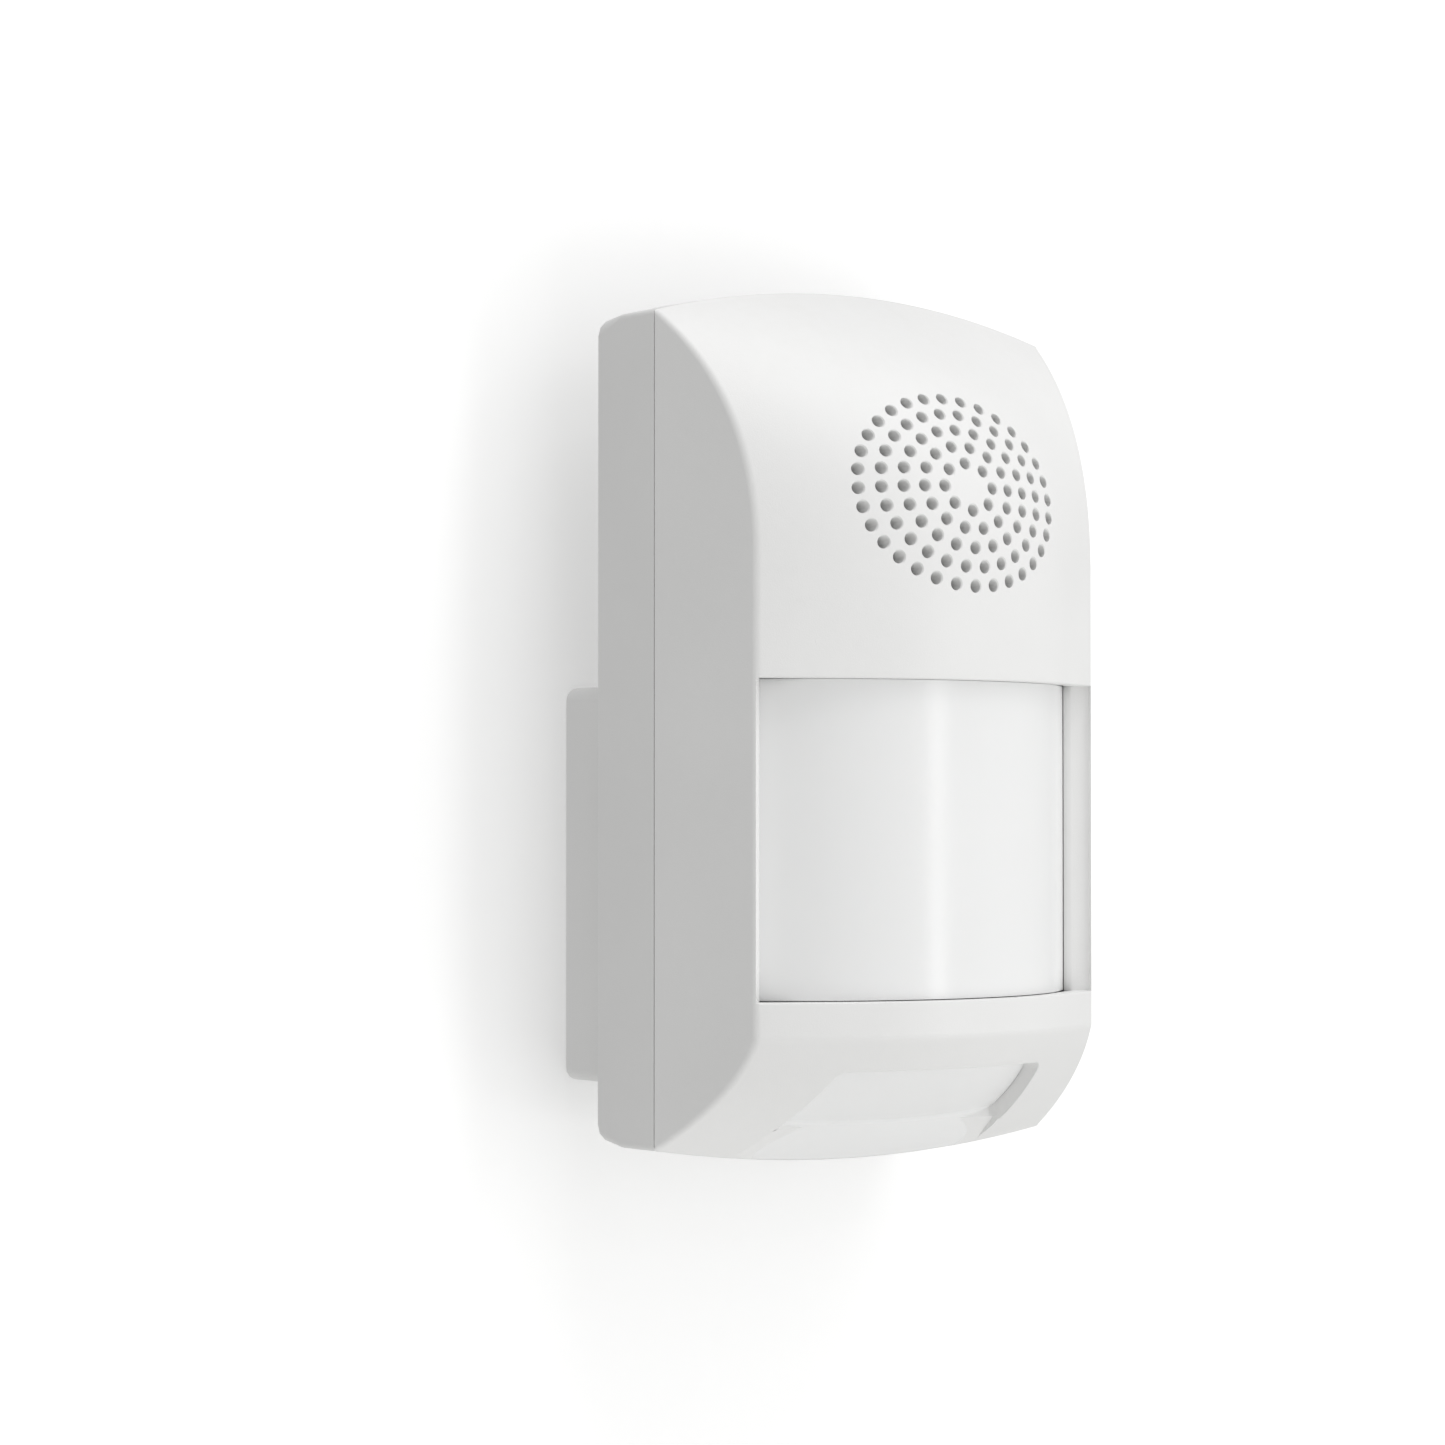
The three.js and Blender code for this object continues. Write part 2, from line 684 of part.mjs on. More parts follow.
function creepLens() {
  const thickness = 0.9;
  const rear = seamY - windowRear - gap;
  const sheet = coverForm(windowRecess).subtract(coverForm(windowRecess + thickness, 2));
  addPiece("creep_lens", sheet.intersect(plate(windowOutline(-gap), rear, frontY - 5)), milky);
  const clipInset = windowRecess + thickness + gap;
  const clip = coverForm(clipInset)
    .subtract(coverForm(clipInset + 1.2, 2))
    .intersect(plate(windowOutline(-gap), rear, frontY - 5))
    .subtract(plate(windowOutline(-2.4), rear - 2, frontY - 5));
  addPiece("creep_lens_retainer", clip, white);
}

// ---- Speaker ------------------------------------------------------------------------------------

function speaker() {
  const rimInner = speakerRadius - 2.2;
  const f = speakerFront;
  const add = (name, made, finish) => addPiece(name, made, finish, speakerPlace);
  const basket = [
    [rimInner, f],
    [speakerRadius, f],
    [speakerRadius, f + 1],
    [speakerRadius - 1.2, f + 1],
    [9.2, f + 4.9],
    [6.2, f + 4.9],
    [6.2, f + 4.1],
    [8.8, f + 4.1],
    [rimInner, f + 1.1],
    [rimInner, f],
  ];
  add("speaker_frame", turned(basket), tin);
  const surroundOuter = rimInner - gap;
  const surroundInner = surroundOuter - 2.3;
  const middle = (surroundOuter + surroundInner) / 2;
  const surround = [
    [surroundInner, f + 0.9],
    [middle - 0.6, f + 0.3],
    [middle + 0.6, f + 0.3],
    [surroundOuter, f + 0.7],
    [surroundOuter, f + 1.1],
    [middle, f + 0.8],
    [surroundInner, f + 1.3],
    [surroundInner, f + 0.9],
  ];
  add("speaker_surround", turned(surround), black);
  const capRadius = 4;
  const cone = [
    [capRadius + gap, f + 3.2],
    [surroundInner - gap, f + 0.9],
    [surroundInner - gap, f + 1.3],
    [capRadius + gap, f + 3.6],
    [capRadius + gap, f + 3.2],
  ];
  add("speaker_cone", turned(cone), grey);
  const cap = [
    [0, f + 1.6],
    [1.6, f + 1.8],
    [3, f + 2.3],
    [capRadius, f + 3.1],
    [capRadius, f + 3.5],
    [0, f + 3.5],
  ];
  add("speaker_dust_cap", turned(cap), grey);
  const back = f + 4.9 + gap;
  add("speaker_magnet", turned([[0, back], [5, back], [5, back + 2.4], [0, back + 2.4]]), steel);
  const yoke = [
    [5 + gap, back],
    [6.6, back],
    [6.6, back + 3.6],
    [0, back + 3.6],
    [0, back + 2.4 + gap],
    [5 + gap, back + 2.4 + gap],
    [5 + gap, back],
  ];
  add("speaker_yoke", turned(yoke), tin);
  const meshRadius = speakerRadius - gap;
  const mesh = [
    [0, f - 0.6],
    [meshRadius, f - 0.6],
    [meshRadius, f - gap],
    [0, f - gap],
  ];
  add("grille_mesh", turned(mesh), black);
  const ringY = f + 1 + gap;
  const ringBack = ringY + 1.2;
  const ears = ringScrewSpots().map(([x, z]) => rod(x, z, 2.2, ringY, ringBack));
  const holes = ringScrewSpots().map(([x, z]) => rod(x, z, 1.2, ringY - 1, ringY + 3, 12));
  const ring = turned(ringOutline(speakerRadius - 0.9, ringScrewRadius, ringY, ringBack));
  add("speaker_ring", ring.add(joined(ears)).subtract(joined(holes)), white);
  ringScrewSpots().forEach(([x, z], i) => {
    const headY = ringY + 1.2 + gap;
    const head = rod(x, z, 1.8, headY, headY + 1.2).subtract(crossSlot(x, z, headY + 1.2));
    add(`ring_screw_${i + 1}`, head.add(rod(x, z, 0.9, f, headY + 0.1, 12)), steel);
  });
}

// A cross for a screwdriver, cut into a screw head whose top lies at y and faces +Y.
function crossSlot(x, z, y) {
  return block(x, z, 2, 0.5, y - 0.6, y + 1).add(block(x, z, 0.5, 2, y - 0.6, y + 1));
}

function speakerTerminals() {
  const { x, z } = terminalPosts;
  const plateY = postEndY + gap;
  addPiece("speaker_terminal_board", block(0, z, 2 * x + 5, 5, plateY, plateY + 1), boardGreen);
  [-1, 1].forEach((side, i) => {
    const curve = new Coil(partsY - 0.5, plateY + 1 + gap + 0.4, 1.6, 1.1, 5);
    const made = geometryOf(wire(curve, 0.3, 40, 5)).translate(side * x, 0, z);
    addPiece(`speaker_contact_spring_${i + 1}`, solid(made), copper);
  });
}

// ---- Circuit board ------------------------------------------------------------------------------

function circuitBoard() {
  const middle = (board.top + board.bottom) / 2;
  let made = block(0, middle, board.width, board.top - board.bottom, boardBackY, boardFrontY);
  for (const [x, z] of boardScrews) made = made.subtract(rod(x, z, 1.5, boardBackY + 1, boardFrontY - 1));
  addPiece("circuit_board", made, boardGreen);
  boardScrews.forEach(([x, z], i) => {
    const head = rod(x, z, 2.2, partsY, partsY - 1.4);
    const cross = block(x, z, 2.6, 0.6, partsY - 0.8, partsY - 2).add(
      block(x, z, 0.6, 2.6, partsY - 0.8, partsY - 2),
    );
    const shank = rod(x, z, 0.9, rearInnerY - 0.5, partsY - 0.1, 12);
    addPiece(`board_screw_${i + 1}`, head.subtract(cross).add(shank), steel);
  });
}

function infraredSensor() {
  const canRadius = 4.6;
  const canHeight = 4;
  const faceY = partsY - canHeight;
  const can = rod(0, sensorHeight, canRadius, partsY, faceY, 28)
    .add(rod(0, sensorHeight, canRadius + 0.4, partsY, partsY - 0.6, 28))
    .subtract(block(0, sensorHeight, 4.4, 3.6, faceY - 1, faceY + 0.7));
  addPiece("sensor_can", can, steel);
  addPiece("sensor_window", block(0, sensorHeight, 3.8, 3, faceY + 0.4, faceY), glassy);
  const collar = rod(0, sensorHeight, canRadius + 3, partsY, partsY - 3, 28).subtract(
    rod(0, sensorHeight, canRadius + 0.4 + gap, partsY + 1, partsY - 4, 28),
  );
  addPiece("sensor_collar", collar, foam);
}

// A flat chip with leads along its left and right edges.
function chip(x, z, width, height, leads) {
  let made = block(x, z, width, height, partsY - 0.2, partsY - 1.6);
  for (let i = 0; i < leads; i++) {
    const level = z + height * ((i + 0.5) / leads - 0.5);
    made = made.add(block(x, level, width + 2.4, 0.5, partsY, partsY - 0.7));
  }
  return made;
}

function boardParts() {
  addPiece("controller_chip", chip(-13, 20, 9, 9, 8), black);
  addPiece("radio_chip", chip(15, 25, 5, 6, 5), black);
  addPiece("radio_shield", block(13, 14, 11, 10, partsY, partsY - 2.4), tin);
  const crystal = block(0, 30, 6, 3.8, partsY, partsY - 3.2)
    .add(rod(-3, 30, 1.9, partsY, partsY - 3.2))
    .add(rod(3, 30, 1.9, partsY, partsY - 3.2));
  addPiece("crystal", crystal, steel);
  [0, 1].forEach((i) => {
    const x = -18 + i * 8;
    const can = rod(x, -3, 3.15, partsY, partsY - 7.5, 24).subtract(
      block(x, -3, 4, 0.4, partsY - 7.2, partsY - 9).add(block(x, -3, 0.4, 4, partsY - 7.2, partsY - 9)),
    );
    addPiece(`capacitor_${i + 1}`, can, black);
  });
  const coilTurn = new THREE.Matrix4().makeRotationX(Math.PI / 2).setPosition(21.5, partsY - 3.2, 24);
  const antenna = geometryOf(wire(new Coil(-9, 9, 2.2, 2.2, 6), 0.4, 60, 5)).applyMatrix4(coilTurn);
  addPiece("antenna_coil", solid(antenna), copper);
  const dome = [
    [0, 0],
    [1.9, 0],
    [1.9, 0.8],
    [1.5, 0.8],
    [1.5, 2.6],
    [1.1, 3.4],
    [0, 3.8],
  ].map(([radius, height]) => [radius, -height]);
  const light = turned(dome.reverse(), 20);
  addPiece("status_light", solid(geometryOf(light).translate(12, partsY, -4)), ledGreen);
}

// ---- Switches on the board ----------------------------------------------------------------------

function tamperSwitch() {
  const [x, z] = tamperSpot;
  const height = 4;
  const faceY = partsY - height;
  const tipY = postEndY + gap;
  const innerY = faceY + 1.6;
  const bore = rod(x, z, 1.5, faceY - 1, innerY + tamperTravel + gap);
  addPiece("tamper_switch", block(x, z, 6, 6, partsY, faceY).subtract(bore), black);
  const plunger = rod(x, z, 1.2, innerY, tipY + 0.6).add(rod(x, z, 0.8, tipY + 0.7, tipY));
  addPiece("tamper_plunger", plunger, cream);
}

function learnButton() {
  const x = 18;
  const z = 2;
  const faceY = partsY - 3;
  const base = block(x, z, 6, 6, partsY, faceY).subtract(rod(x, z, 2.05, faceY - 1, faceY + 1.6, 24));
  addPiece("learn_button_base", base, black);
  addPiece("learn_button_cap", rod(x, z, 1.75, faceY + 1.6 - gap - learnTravel, faceY - 1.8, 24), cream);
}

function powerSwitch() {
  const z = -15;
  const faceY = partsY - 3;
  const nub = 1.8;
  const slotLength = nub + sliderTravel + 2 * gap;
  const body = block(0, z, 10, 4.4, partsY, faceY).subtract(
    block(0, z, slotLength, nub + 2 * gap, faceY + 1.6, faceY - 1),
  );
  addPiece("power_switch_body", body, tin);
  const slider = block(-sliderTravel / 2, z, nub, nub, faceY + 1.6 - gap, faceY - 2.2);
  addPiece("power_switch_slider", slider, black);
}

function jumper() {
  const x = -10;
  const z = -13.5;
  const pinSpread = 1.27;
  let header = block(x, z, 5, 2.5, partsY, partsY - 2.4);
  let cap = block(x, z, 4.9, 2.4, partsY - 2.4 - gap, partsY - 8);
  for (const side of [-1, 1]) {
    header = header.add(block(x + side * pinSpread, z, 0.64, 0.64, partsY - 1, partsY - 7));
    cap = cap.subtract(block(x + side * pinSpread, z, 1.3, 1.3, partsY - 2, partsY - 7.4));
  }
  addPiece("jumper_header", header, black);
  addPiece("jumper_cap", cap, { ...black, color: 0x24509c });
}

// ---- Batteries ----------------------------------------------------------------------------------

function batteries() {
  const floorY = rearInnerY - gap;
  const floor = 1.2;
  const cellY = floorY - floor - gap - cell.radius;
  const second = cell.first + cell.pitch;
  const inner = {
    half: cell.length / 2 + gap + 2,
    bottom: cell.first - cell.radius - gap,
    top: second + cell.radius + gap,
  };
  const middle = (inner.bottom + inner.top) / 2;
  const height = inner.top - inner.bottom;
  const outerHeight = height + 2 * trayWall;
  const tray = block(0, middle, 2 * (inner.half + trayWall), outerHeight, floorY, floorY - 7.5);
  const hollow = block(0, middle, 2 * inner.half, height, floorY - floor, floorY - 12);
  addPiece("battery_tray", tray.subtract(hollow), black);
  [cell.first, second].forEach((z, i) => {
    const side = i === 0 ? 1 : -1;
    const half = cell.length / 2;
    const profile = [
      [0, -half],
      [cell.radius - 0.4, -half],
      [cell.radius, -half + 0.4],
      [cell.radius, half - 1.6],
      [cell.radius - 0.5, half - 1.1],
      [1.9, half - 1.1],
      [1.9, half],
      [0, half],
    ];
    const along = new THREE.Matrix4().makeRotationZ((-side * Math.PI) / 2).setPosition(0, cellY, z);
    addPiece(`battery_${i + 1}`, solid(geometryOf(turned(profile)).applyMatrix4(along)), cellGreen);
    const spring = new Coil(half + gap + 0.3, inner.half - 0.5, 1.4, 2.8, 3);
    const coil = geometryOf(wire(spring, 0.25, 30, 5)).applyMatrix4(
      new THREE.Matrix4().makeRotationZ((side * Math.PI) / 2).setPosition(0, cellY, z),
    );
    addPiece(`battery_spring_${i + 1}`, solid(coil), steel);
    const plateX = side * (half + gap + 0.4);
    const contact = box([plateX - 0.3, plateX + 0.3], [cellY - 2.5, cellY + 4], [z - 3.5, z + 3.5]);
    addPiece(`battery_contact_${i + 1}`, contact, steel);
  });
}

// ---- Case screw ---------------------------------------------------------------------------------

function caseScrewPiece() {
  const headTop = forkTop - forkThickness - gap;
  const headBottom = headTop - caseScrew.headHeight;
  const { head } = caseScrew;
  const slot = box([-head, head], [clampY - 0.4, clampY + 0.4], [headBottom - 1, headBottom + 0.8]);
  const made = upright(0, clampY, head, headBottom, headTop, 24)
    .subtract(slot)
    .add(upright(0, clampY, caseScrew.shank, headTop - 0.1, forkTop + caseScrew.reach - 0.5, 14));
  addPiece("case_screw", made, steel);
}

wallBracket();
rearHousing();
frontCover();
fresnelLens();
lensRetainer();
creepLens();
speaker();
speakerTerminals();
circuitBoard();
infraredSensor();
boardParts();
tamperSwitch();
learnButton();
powerSwitch();
jumper();
batteries();
caseScrewPiece();

export default root;
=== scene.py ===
# %% [markdown]
# # A wall-mounted motion sensor with a siren speaker
# The solid parts of the sensor already exist, each as a node that moves with its body. This lesson gives
# them a fine surface and finishes, then sets up the wall, the lights and the camera.
# X runs to the right, Z up, the front faces -Y and the wall is the plane Y = 0. Lengths are in metres.

import bpy
import bmesh
import json
import math
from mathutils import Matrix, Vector


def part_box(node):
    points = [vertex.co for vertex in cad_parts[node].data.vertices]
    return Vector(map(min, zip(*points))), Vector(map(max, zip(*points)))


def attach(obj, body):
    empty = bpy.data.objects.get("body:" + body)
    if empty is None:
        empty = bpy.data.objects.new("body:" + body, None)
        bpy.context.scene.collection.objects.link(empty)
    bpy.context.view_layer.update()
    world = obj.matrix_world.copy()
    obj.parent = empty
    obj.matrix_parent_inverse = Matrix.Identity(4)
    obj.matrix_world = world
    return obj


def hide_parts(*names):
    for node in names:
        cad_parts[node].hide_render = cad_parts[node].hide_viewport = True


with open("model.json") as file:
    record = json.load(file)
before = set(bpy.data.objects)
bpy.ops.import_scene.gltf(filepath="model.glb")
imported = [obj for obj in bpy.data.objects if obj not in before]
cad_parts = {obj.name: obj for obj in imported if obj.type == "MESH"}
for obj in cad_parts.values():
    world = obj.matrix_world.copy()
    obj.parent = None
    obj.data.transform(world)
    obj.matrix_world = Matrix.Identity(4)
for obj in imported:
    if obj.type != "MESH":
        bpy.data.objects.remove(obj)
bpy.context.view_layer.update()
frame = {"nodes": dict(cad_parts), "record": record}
MM = 0.001

# %% [markdown]
# ## The cover's form
# The cover is one soft moulded shape: flat side walls, a front that bulges in plan, a chin that turns back
# under the lens and a long curve over the top. A formula keeps all its cuts in register, so the same few
# sizes that the solid model used are written down once here, in millimetres.

# %% Sizes of the form
housing_low, housing_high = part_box("rear_housing")
HALF = housing_high.x / MM  # half the width at the seam
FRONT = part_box("front_cover")[0].y / MM  # foremost point
SIDE_DEPTH = 14.4  # seam to the edges of the face
CROWN = 8.5  # how far the face bulges past them
SEAM = FRONT + SIDE_DEPTH + CROWN
SIDE_LEAN = 4  # how far each side wall leans in on its way forward
LEAN = SIDE_LEAN / SIDE_DEPTH  # the same per millimetre of depth
ARCH_TOP, ARCH_BOTTOM = 4.1, 2.5
TOP = housing_high.z / MM - ARCH_TOP
BOTTOM = housing_low.z / MM + ARCH_BOTTOM
PARTING = -0.1  # the cover's edge all but touches the housing
CURVE_START, CREASE = TOP - 29.7, -17.8
LENS_TOP, LENS_BOTTOM, PILLAR_X = 24.7, -13.5, 25.4
EDGE = SEAM - SIDE_DEPTH  # the cover's front edges
print("half width", round(HALF, 2), "seam", round(SEAM, 2))
print("top", round(TOP, 2), "bottom", round(BOTTOM, 2))


# %% Formulas of the form
def arc(x, rise):
    """Height of a shallow arc over the width of the seam."""
    radius = (HALF * HALF + rise * rise) / (2 * rise)
    return math.sqrt(radius * radius - x * x) - (radius - rise)


def curve(a, control, b, t):
    """A quadratic curve from a to b."""
    return (1 - t) ** 2 * a + 2 * t * (1 - t) * control + t * t * b


def depth_at(u, inset=0.0):
    """Depth of the face in front of the seam, for u from -1 at the left wall to 1 at the right."""
    return SIDE_DEPTH + CROWN * (1 - u * u) - inset


def skin(u, row, inset=0.0):
    """A point of the cover's skin. A row is a zone of the upright profile and a place in it."""
    zone, t = row
    top = TOP + arc(u * HALF, ARCH_TOP) - inset
    bottom = BOTTOM - arc(u * HALF, ARCH_BOTTOM) + inset
    if zone == "chin":
        forward = curve(0, 0.8, 1, t)
        height = curve(bottom, CREASE + (bottom - CREASE) * 0.51, CREASE, t)
    elif zone == "band":
        forward, height = 1, t
    elif zone == "top":
        forward = curve(1, 1, 0, t)
        height = curve(CURVE_START, CURVE_START + (top - CURVE_START) * 0.62, top, t)
    else:  # behind the seam, by t millimetres
        forward, height = 0, (top if zone == "head" else bottom)
    ahead = forward * depth_at(u, inset)
    y = SEAM - ahead + (t if zone in ("head", "foot") else 0)
    return Vector((u * (HALF - inset - LEAN * ahead), y, height)) * MM


# %% [markdown]
# ## Small helpers
# An operator works on everything that is selected, so each step first selects only its own piece. Cuts are
# made with a Boolean modifier that is applied at once, which is what Apply does in the Modifiers tab.

# %% Helpers for selecting and cutting
def only(piece):
    """Selects this piece alone and makes it active."""
    bpy.ops.object.select_all(action="DESELECT")
    piece.select_set(True)
    bpy.context.view_layer.objects.active = piece


def cut(piece, cutter, how="DIFFERENCE", self_crossing=False):
    """Applies a Boolean and throws its cutter away."""
    only(piece)
    step = piece.modifiers.new("cut", "BOOLEAN")
    step.object, step.operation, step.solver = cutter, how, "EXACT"
    step.use_self = self_crossing
    bpy.ops.object.modifier_apply(modifier=step.name)
    bpy.data.objects.remove(cutter)
    return piece


def in_edit_mode(piece, kind="VERT"):
    """Opens a piece in edit mode with nothing selected."""
    only(piece)
    bpy.ops.object.mode_set(mode="EDIT")
    bpy.ops.mesh.select_mode(type=kind)
    bpy.ops.mesh.select_all(action="DESELECT")


def pick(piece, wanted, kind="edges"):
    """Selects the edges or faces for which wanted(element) is true, and says how many."""
    mesh = bmesh.from_edit_mesh(piece.data)
    mesh.normal_update()
    found = [e for e in getattr(mesh, kind) if wanted(e)]
    for element in found:
        element.select_set(True)
    bmesh.update_edit_mesh(piece.data)
    return len(found)


def even(start, end, steps):
    """Evenly spaced values, both ends included."""
    return [start + (end - start) * i / steps for i in range(steps + 1)]


# %% [markdown]
# ## The cover's skin
# A moulded shell like this is best started as a grid whose points are laid on the form: the rows follow the
# upright profile and the columns go round the face. The two side walls and the open back are then filled
# as single faces, so every edge between them can be rounded by its own bevel weight.

# %% Grid laid on the form and closed
COLUMNS = even(-1, 1, 92)
CREASE_ROW = 18
BAND_HEIGHTS = (-16.2, -14.7, -12.2, -8, -3, 2, 7, 12, 17, 21.5, 23.5, 26, 28, 30, 32, 34, 36, 38)
SKIN_ROWS = (
    [("chin", t) for t in even(0, 1, CREASE_ROW)]
    + [("band", z) for z in BAND_HEIGHTS]
    + [("top", t) for t in even(0, 1, 44)]
)


def form_solid(name, inset, columns, rows, back=0.0):
    """A closed solid of the cover's form, as a grid whose sides and back are filled."""
    if back:
        rows = [("foot", back)] + rows + [("head", back)]
    last_column, last_row = len(columns) - 1, len(rows) - 1
    bpy.ops.object.select_all(action="DESELECT")
    bpy.ops.mesh.primitive_grid_add(x_subdivisions=last_column, y_subdivisions=last_row, size=2)
    solid = bpy.context.object
    solid.name = name
    places = []
    for vertex in solid.data.vertices:
        column = round((vertex.co.x + 1) / 2 * last_column)
        row = round((vertex.co.y + 1) / 2 * last_row)
        places.append((column, row))
        vertex.co = skin(columns[column], rows[row], inset)
        if not back:
            vertex.co.y = min(vertex.co.y, (SEAM - PARTING) * MM)
    for side in (0, last_column):
        in_edit_mode(solid)
        bpy.ops.object.mode_set(mode="OBJECT")
        for vertex, (column, _) in zip(solid.data.vertices, places):
            vertex.select = column == side
        bpy.ops.object.mode_set(mode="EDIT")
        bpy.ops.mesh.edge_face_add()
        bpy.ops.object.mode_set(mode="OBJECT")
    in_edit_mode(solid)
    bpy.ops.mesh.select_non_manifold()
    bpy.ops.mesh.edge_face_add()
    bpy.ops.mesh.select_all(action="SELECT")
    bpy.ops.mesh.normals_make_consistent(inside=False)
    bpy.ops.object.mode_set(mode="OBJECT")
    return solid, places


cover, places = form_solid("cover_shell", 0, COLUMNS, SKIN_ROWS)
print("skin:", len(cover.data.vertices), "points")

# %% [markdown]
# The face meets the side walls at a crisp edge with a small radius, the crease above the chin is softer and
# the seam has only its parting edge broken. One Bevel modifier does all three by weight.

# %% Round the long edges
SIDE_RADIUS, SEAM_RADIUS, CREASE_RADIUS = 0.55, 0.1, 0.4  # millimetres, since a weight of 1 is 1 mm wide
weights = cover.data.attributes.new("bevel_weight_edge", "FLOAT", "EDGE")
last_column, last_row = len(COLUMNS) - 1, len(SKIN_ROWS) - 1
for edge in cover.data.edges:
    (c0, r0), (c1, r1) = places[edge.vertices[0]], places[edge.vertices[1]]
    on_side = c0 == c1 and c0 in (0, last_column)
    if on_side and abs(r0 - r1) == 1:
        weights.data[edge.index].value = SIDE_RADIUS
    elif on_side or (r0 == r1 and r0 in (0, last_row)):
        weights.data[edge.index].value = SEAM_RADIUS
    elif r0 == r1 == CREASE_ROW:
        weights.data[edge.index].value = CREASE_RADIUS
only(cover)
rounding = cover.modifiers.new("rounding", "BEVEL")
rounding.limit_method, rounding.width, rounding.segments = "WEIGHT", MM, 4
rounding.use_clamp_overlap = False
bpy.ops.object.modifier_apply(modifier=rounding.name)
print("rounded skin:", len(cover.data.polygons), "faces")

# %% [markdown]
# ## The hollow, the lens opening and the look-down window
# The shell is 2 mm thick. Its inside is the same form, moved in, and cut out with a Boolean. Round the
# look-down window the wall stands deeper, as a collar, so the inside is first relieved there.
# The window is a tapering prism with rounded corners that is cut straight back and stops before the seam.

# %% Plain cutters
def block(low, high):
    """A box between two corners given in millimetres."""
    bpy.ops.object.select_all(action="DESELECT")
    middle = [(a + b) / 2 * MM for a, b in zip(low, high)]
    bpy.ops.mesh.primitive_cube_add(size=1, location=middle)
    made = bpy.context.object
    made.scale = [(b - a) * MM for a, b in zip(low, high)]
    bpy.ops.object.transform_apply(location=True, rotation=True, scale=True)
    return made


def prism(half, foot_half, top, foot, y_rear, y_front, top_radius, rear_radius=0.0):
    """A tapering outline, symmetric in X, from top down to foot, extruded from y_rear to y_front."""
    bpy.ops.object.select_all(action="DESELECT")
    bpy.ops.mesh.primitive_plane_add(size=2)
    made = bpy.context.object
    for vertex in made.data.vertices:
        upper = vertex.co.y > 0
        width = half if upper else foot_half
        vertex.co = (math.copysign(width, vertex.co.x) * MM, y_rear * MM, (top if upper else foot) * MM)
    in_edit_mode(made)
    pick(made, lambda v: v.co.z > (top - 0.1) * MM, "verts")
    bpy.ops.mesh.bevel(offset=top_radius * MM, segments=5, affect="VERTICES")
    bpy.ops.mesh.select_all(action="SELECT")
    bpy.ops.mesh.extrude_region_move(TRANSFORM_OT_translate={"value": (0, (y_front - y_rear) * MM, 0)})
    bpy.ops.mesh.select_all(action="SELECT")
    bpy.ops.mesh.normals_make_consistent(inside=False)
    if rear_radius:
        bpy.ops.mesh.select_mode(type="EDGE")
        bpy.ops.mesh.select_all(action="DESELECT")
        at_rear = lambda e: all(abs(v.co.y - y_rear * MM) < 1e-6 for v in e.verts)
        slanted = lambda e: abs(e.verts[0].co.z - e.verts[1].co.z) > 4 * MM
        pick(made, lambda e: at_rear(e) and slanted(e))
        bpy.ops.mesh.bevel(offset=rear_radius * MM, segments=8)
    bpy.ops.object.mode_set(mode="OBJECT")
    return made


WINDOW_TOP, WINDOW_HALF, WINDOW_FOOT_HALF = -21.9, 16.0, 19.0
WINDOW_REAR = SEAM - 5.5  # the collar's rear wall
SLOPE = (WINDOW_FOOT_HALF - WINDOW_HALF) / (WINDOW_TOP - BOTTOM)  # of the window's sides


def window_prism(spread, y_rear, top_radius, rear_radius=0.0):
    """The window's outline, wider by spread on every side but its open foot, cut back to y_rear."""
    top, foot, half = WINDOW_TOP + spread, BOTTOM - 7, WINDOW_HALF + spread
    return prism(half, half + SLOPE * (top - foot), top, foot, y_rear, FRONT - 5, top_radius, rear_radius)


# %% Hollow out the shell
WALL = 2
OPENING_REAR = SEAM - 7.2  # the lens opening is cut this far back
CHEEK_X, CHEEK_DEPTH = 26.9, 2.6  # and wider, but shallow, where the cheeks will stand
INNER_COLUMNS = even(-1, 1, 40)
INNER_ROWS = (
    [("chin", t) for t in even(0, 1, 10)]
    + [("band", z) for z in (-10.1, -2.3, 6.1, 14.3, 22.1, 31.2)]
    + [("top", t) for t in even(0, 1, 22)]
)
hollow, _ = form_solid("hollow", WALL, INNER_COLUMNS, INNER_ROWS, back=3)
cut(hollow, window_prism(1.2, SEAM - 4.3, 1.6))
cut(cover, hollow)
deep, _ = form_solid("deep", 3.7, even(-1, 1, 30), INNER_ROWS[::2] + [INNER_ROWS[-1]], back=3.4)
cut(cover, deep)
cut(cover, window_prism(0, WINDOW_REAR, 1.0, 1.8))
cut(cover, block((-PILLAR_X, FRONT - 5, LENS_BOTTOM), (PILLAR_X, OPENING_REAR, LENS_TOP)))
cut(cover, block((-CHEEK_X, FRONT - 5, LENS_BOTTOM), (CHEEK_X, EDGE + CHEEK_DEPTH, LENS_TOP)))
print("shell:", len(cover.data.polygons), "faces")

# %% [markdown]
# Below the window the cover's foot is cut back on a slant, so that the look-down lens can run down to the
# cover's lower edge as one smooth light band.

# %% Slanted cut at the foot
SLANT_TOP, SLANT_DROP, SLANT_RUN = -29.3, 8.5, 11.5
SLANT_WIDENS = 2.66  # a hair more than the window does, so that the two cuts share no plane
half_there = WINDOW_HALF + SLOPE * (WINDOW_TOP - SLANT_TOP)
slant_foot, half_foot = SLANT_TOP - SLANT_DROP, half_there + SLANT_WIDENS
slant = prism(half_there, half_foot, SLANT_TOP, slant_foot, WINDOW_REAR, WINDOW_REAR - 2, 0.05)
for vertex in slant.data.vertices:
    if vertex.co.y > (WINDOW_REAR - 0.01) * MM and vertex.co.z < (slant_foot + 0.5) * MM:
        vertex.co.y += SLANT_RUN * MM
cut(cover, slant)
print("foot cut:", len(cover.data.polygons), "faces")

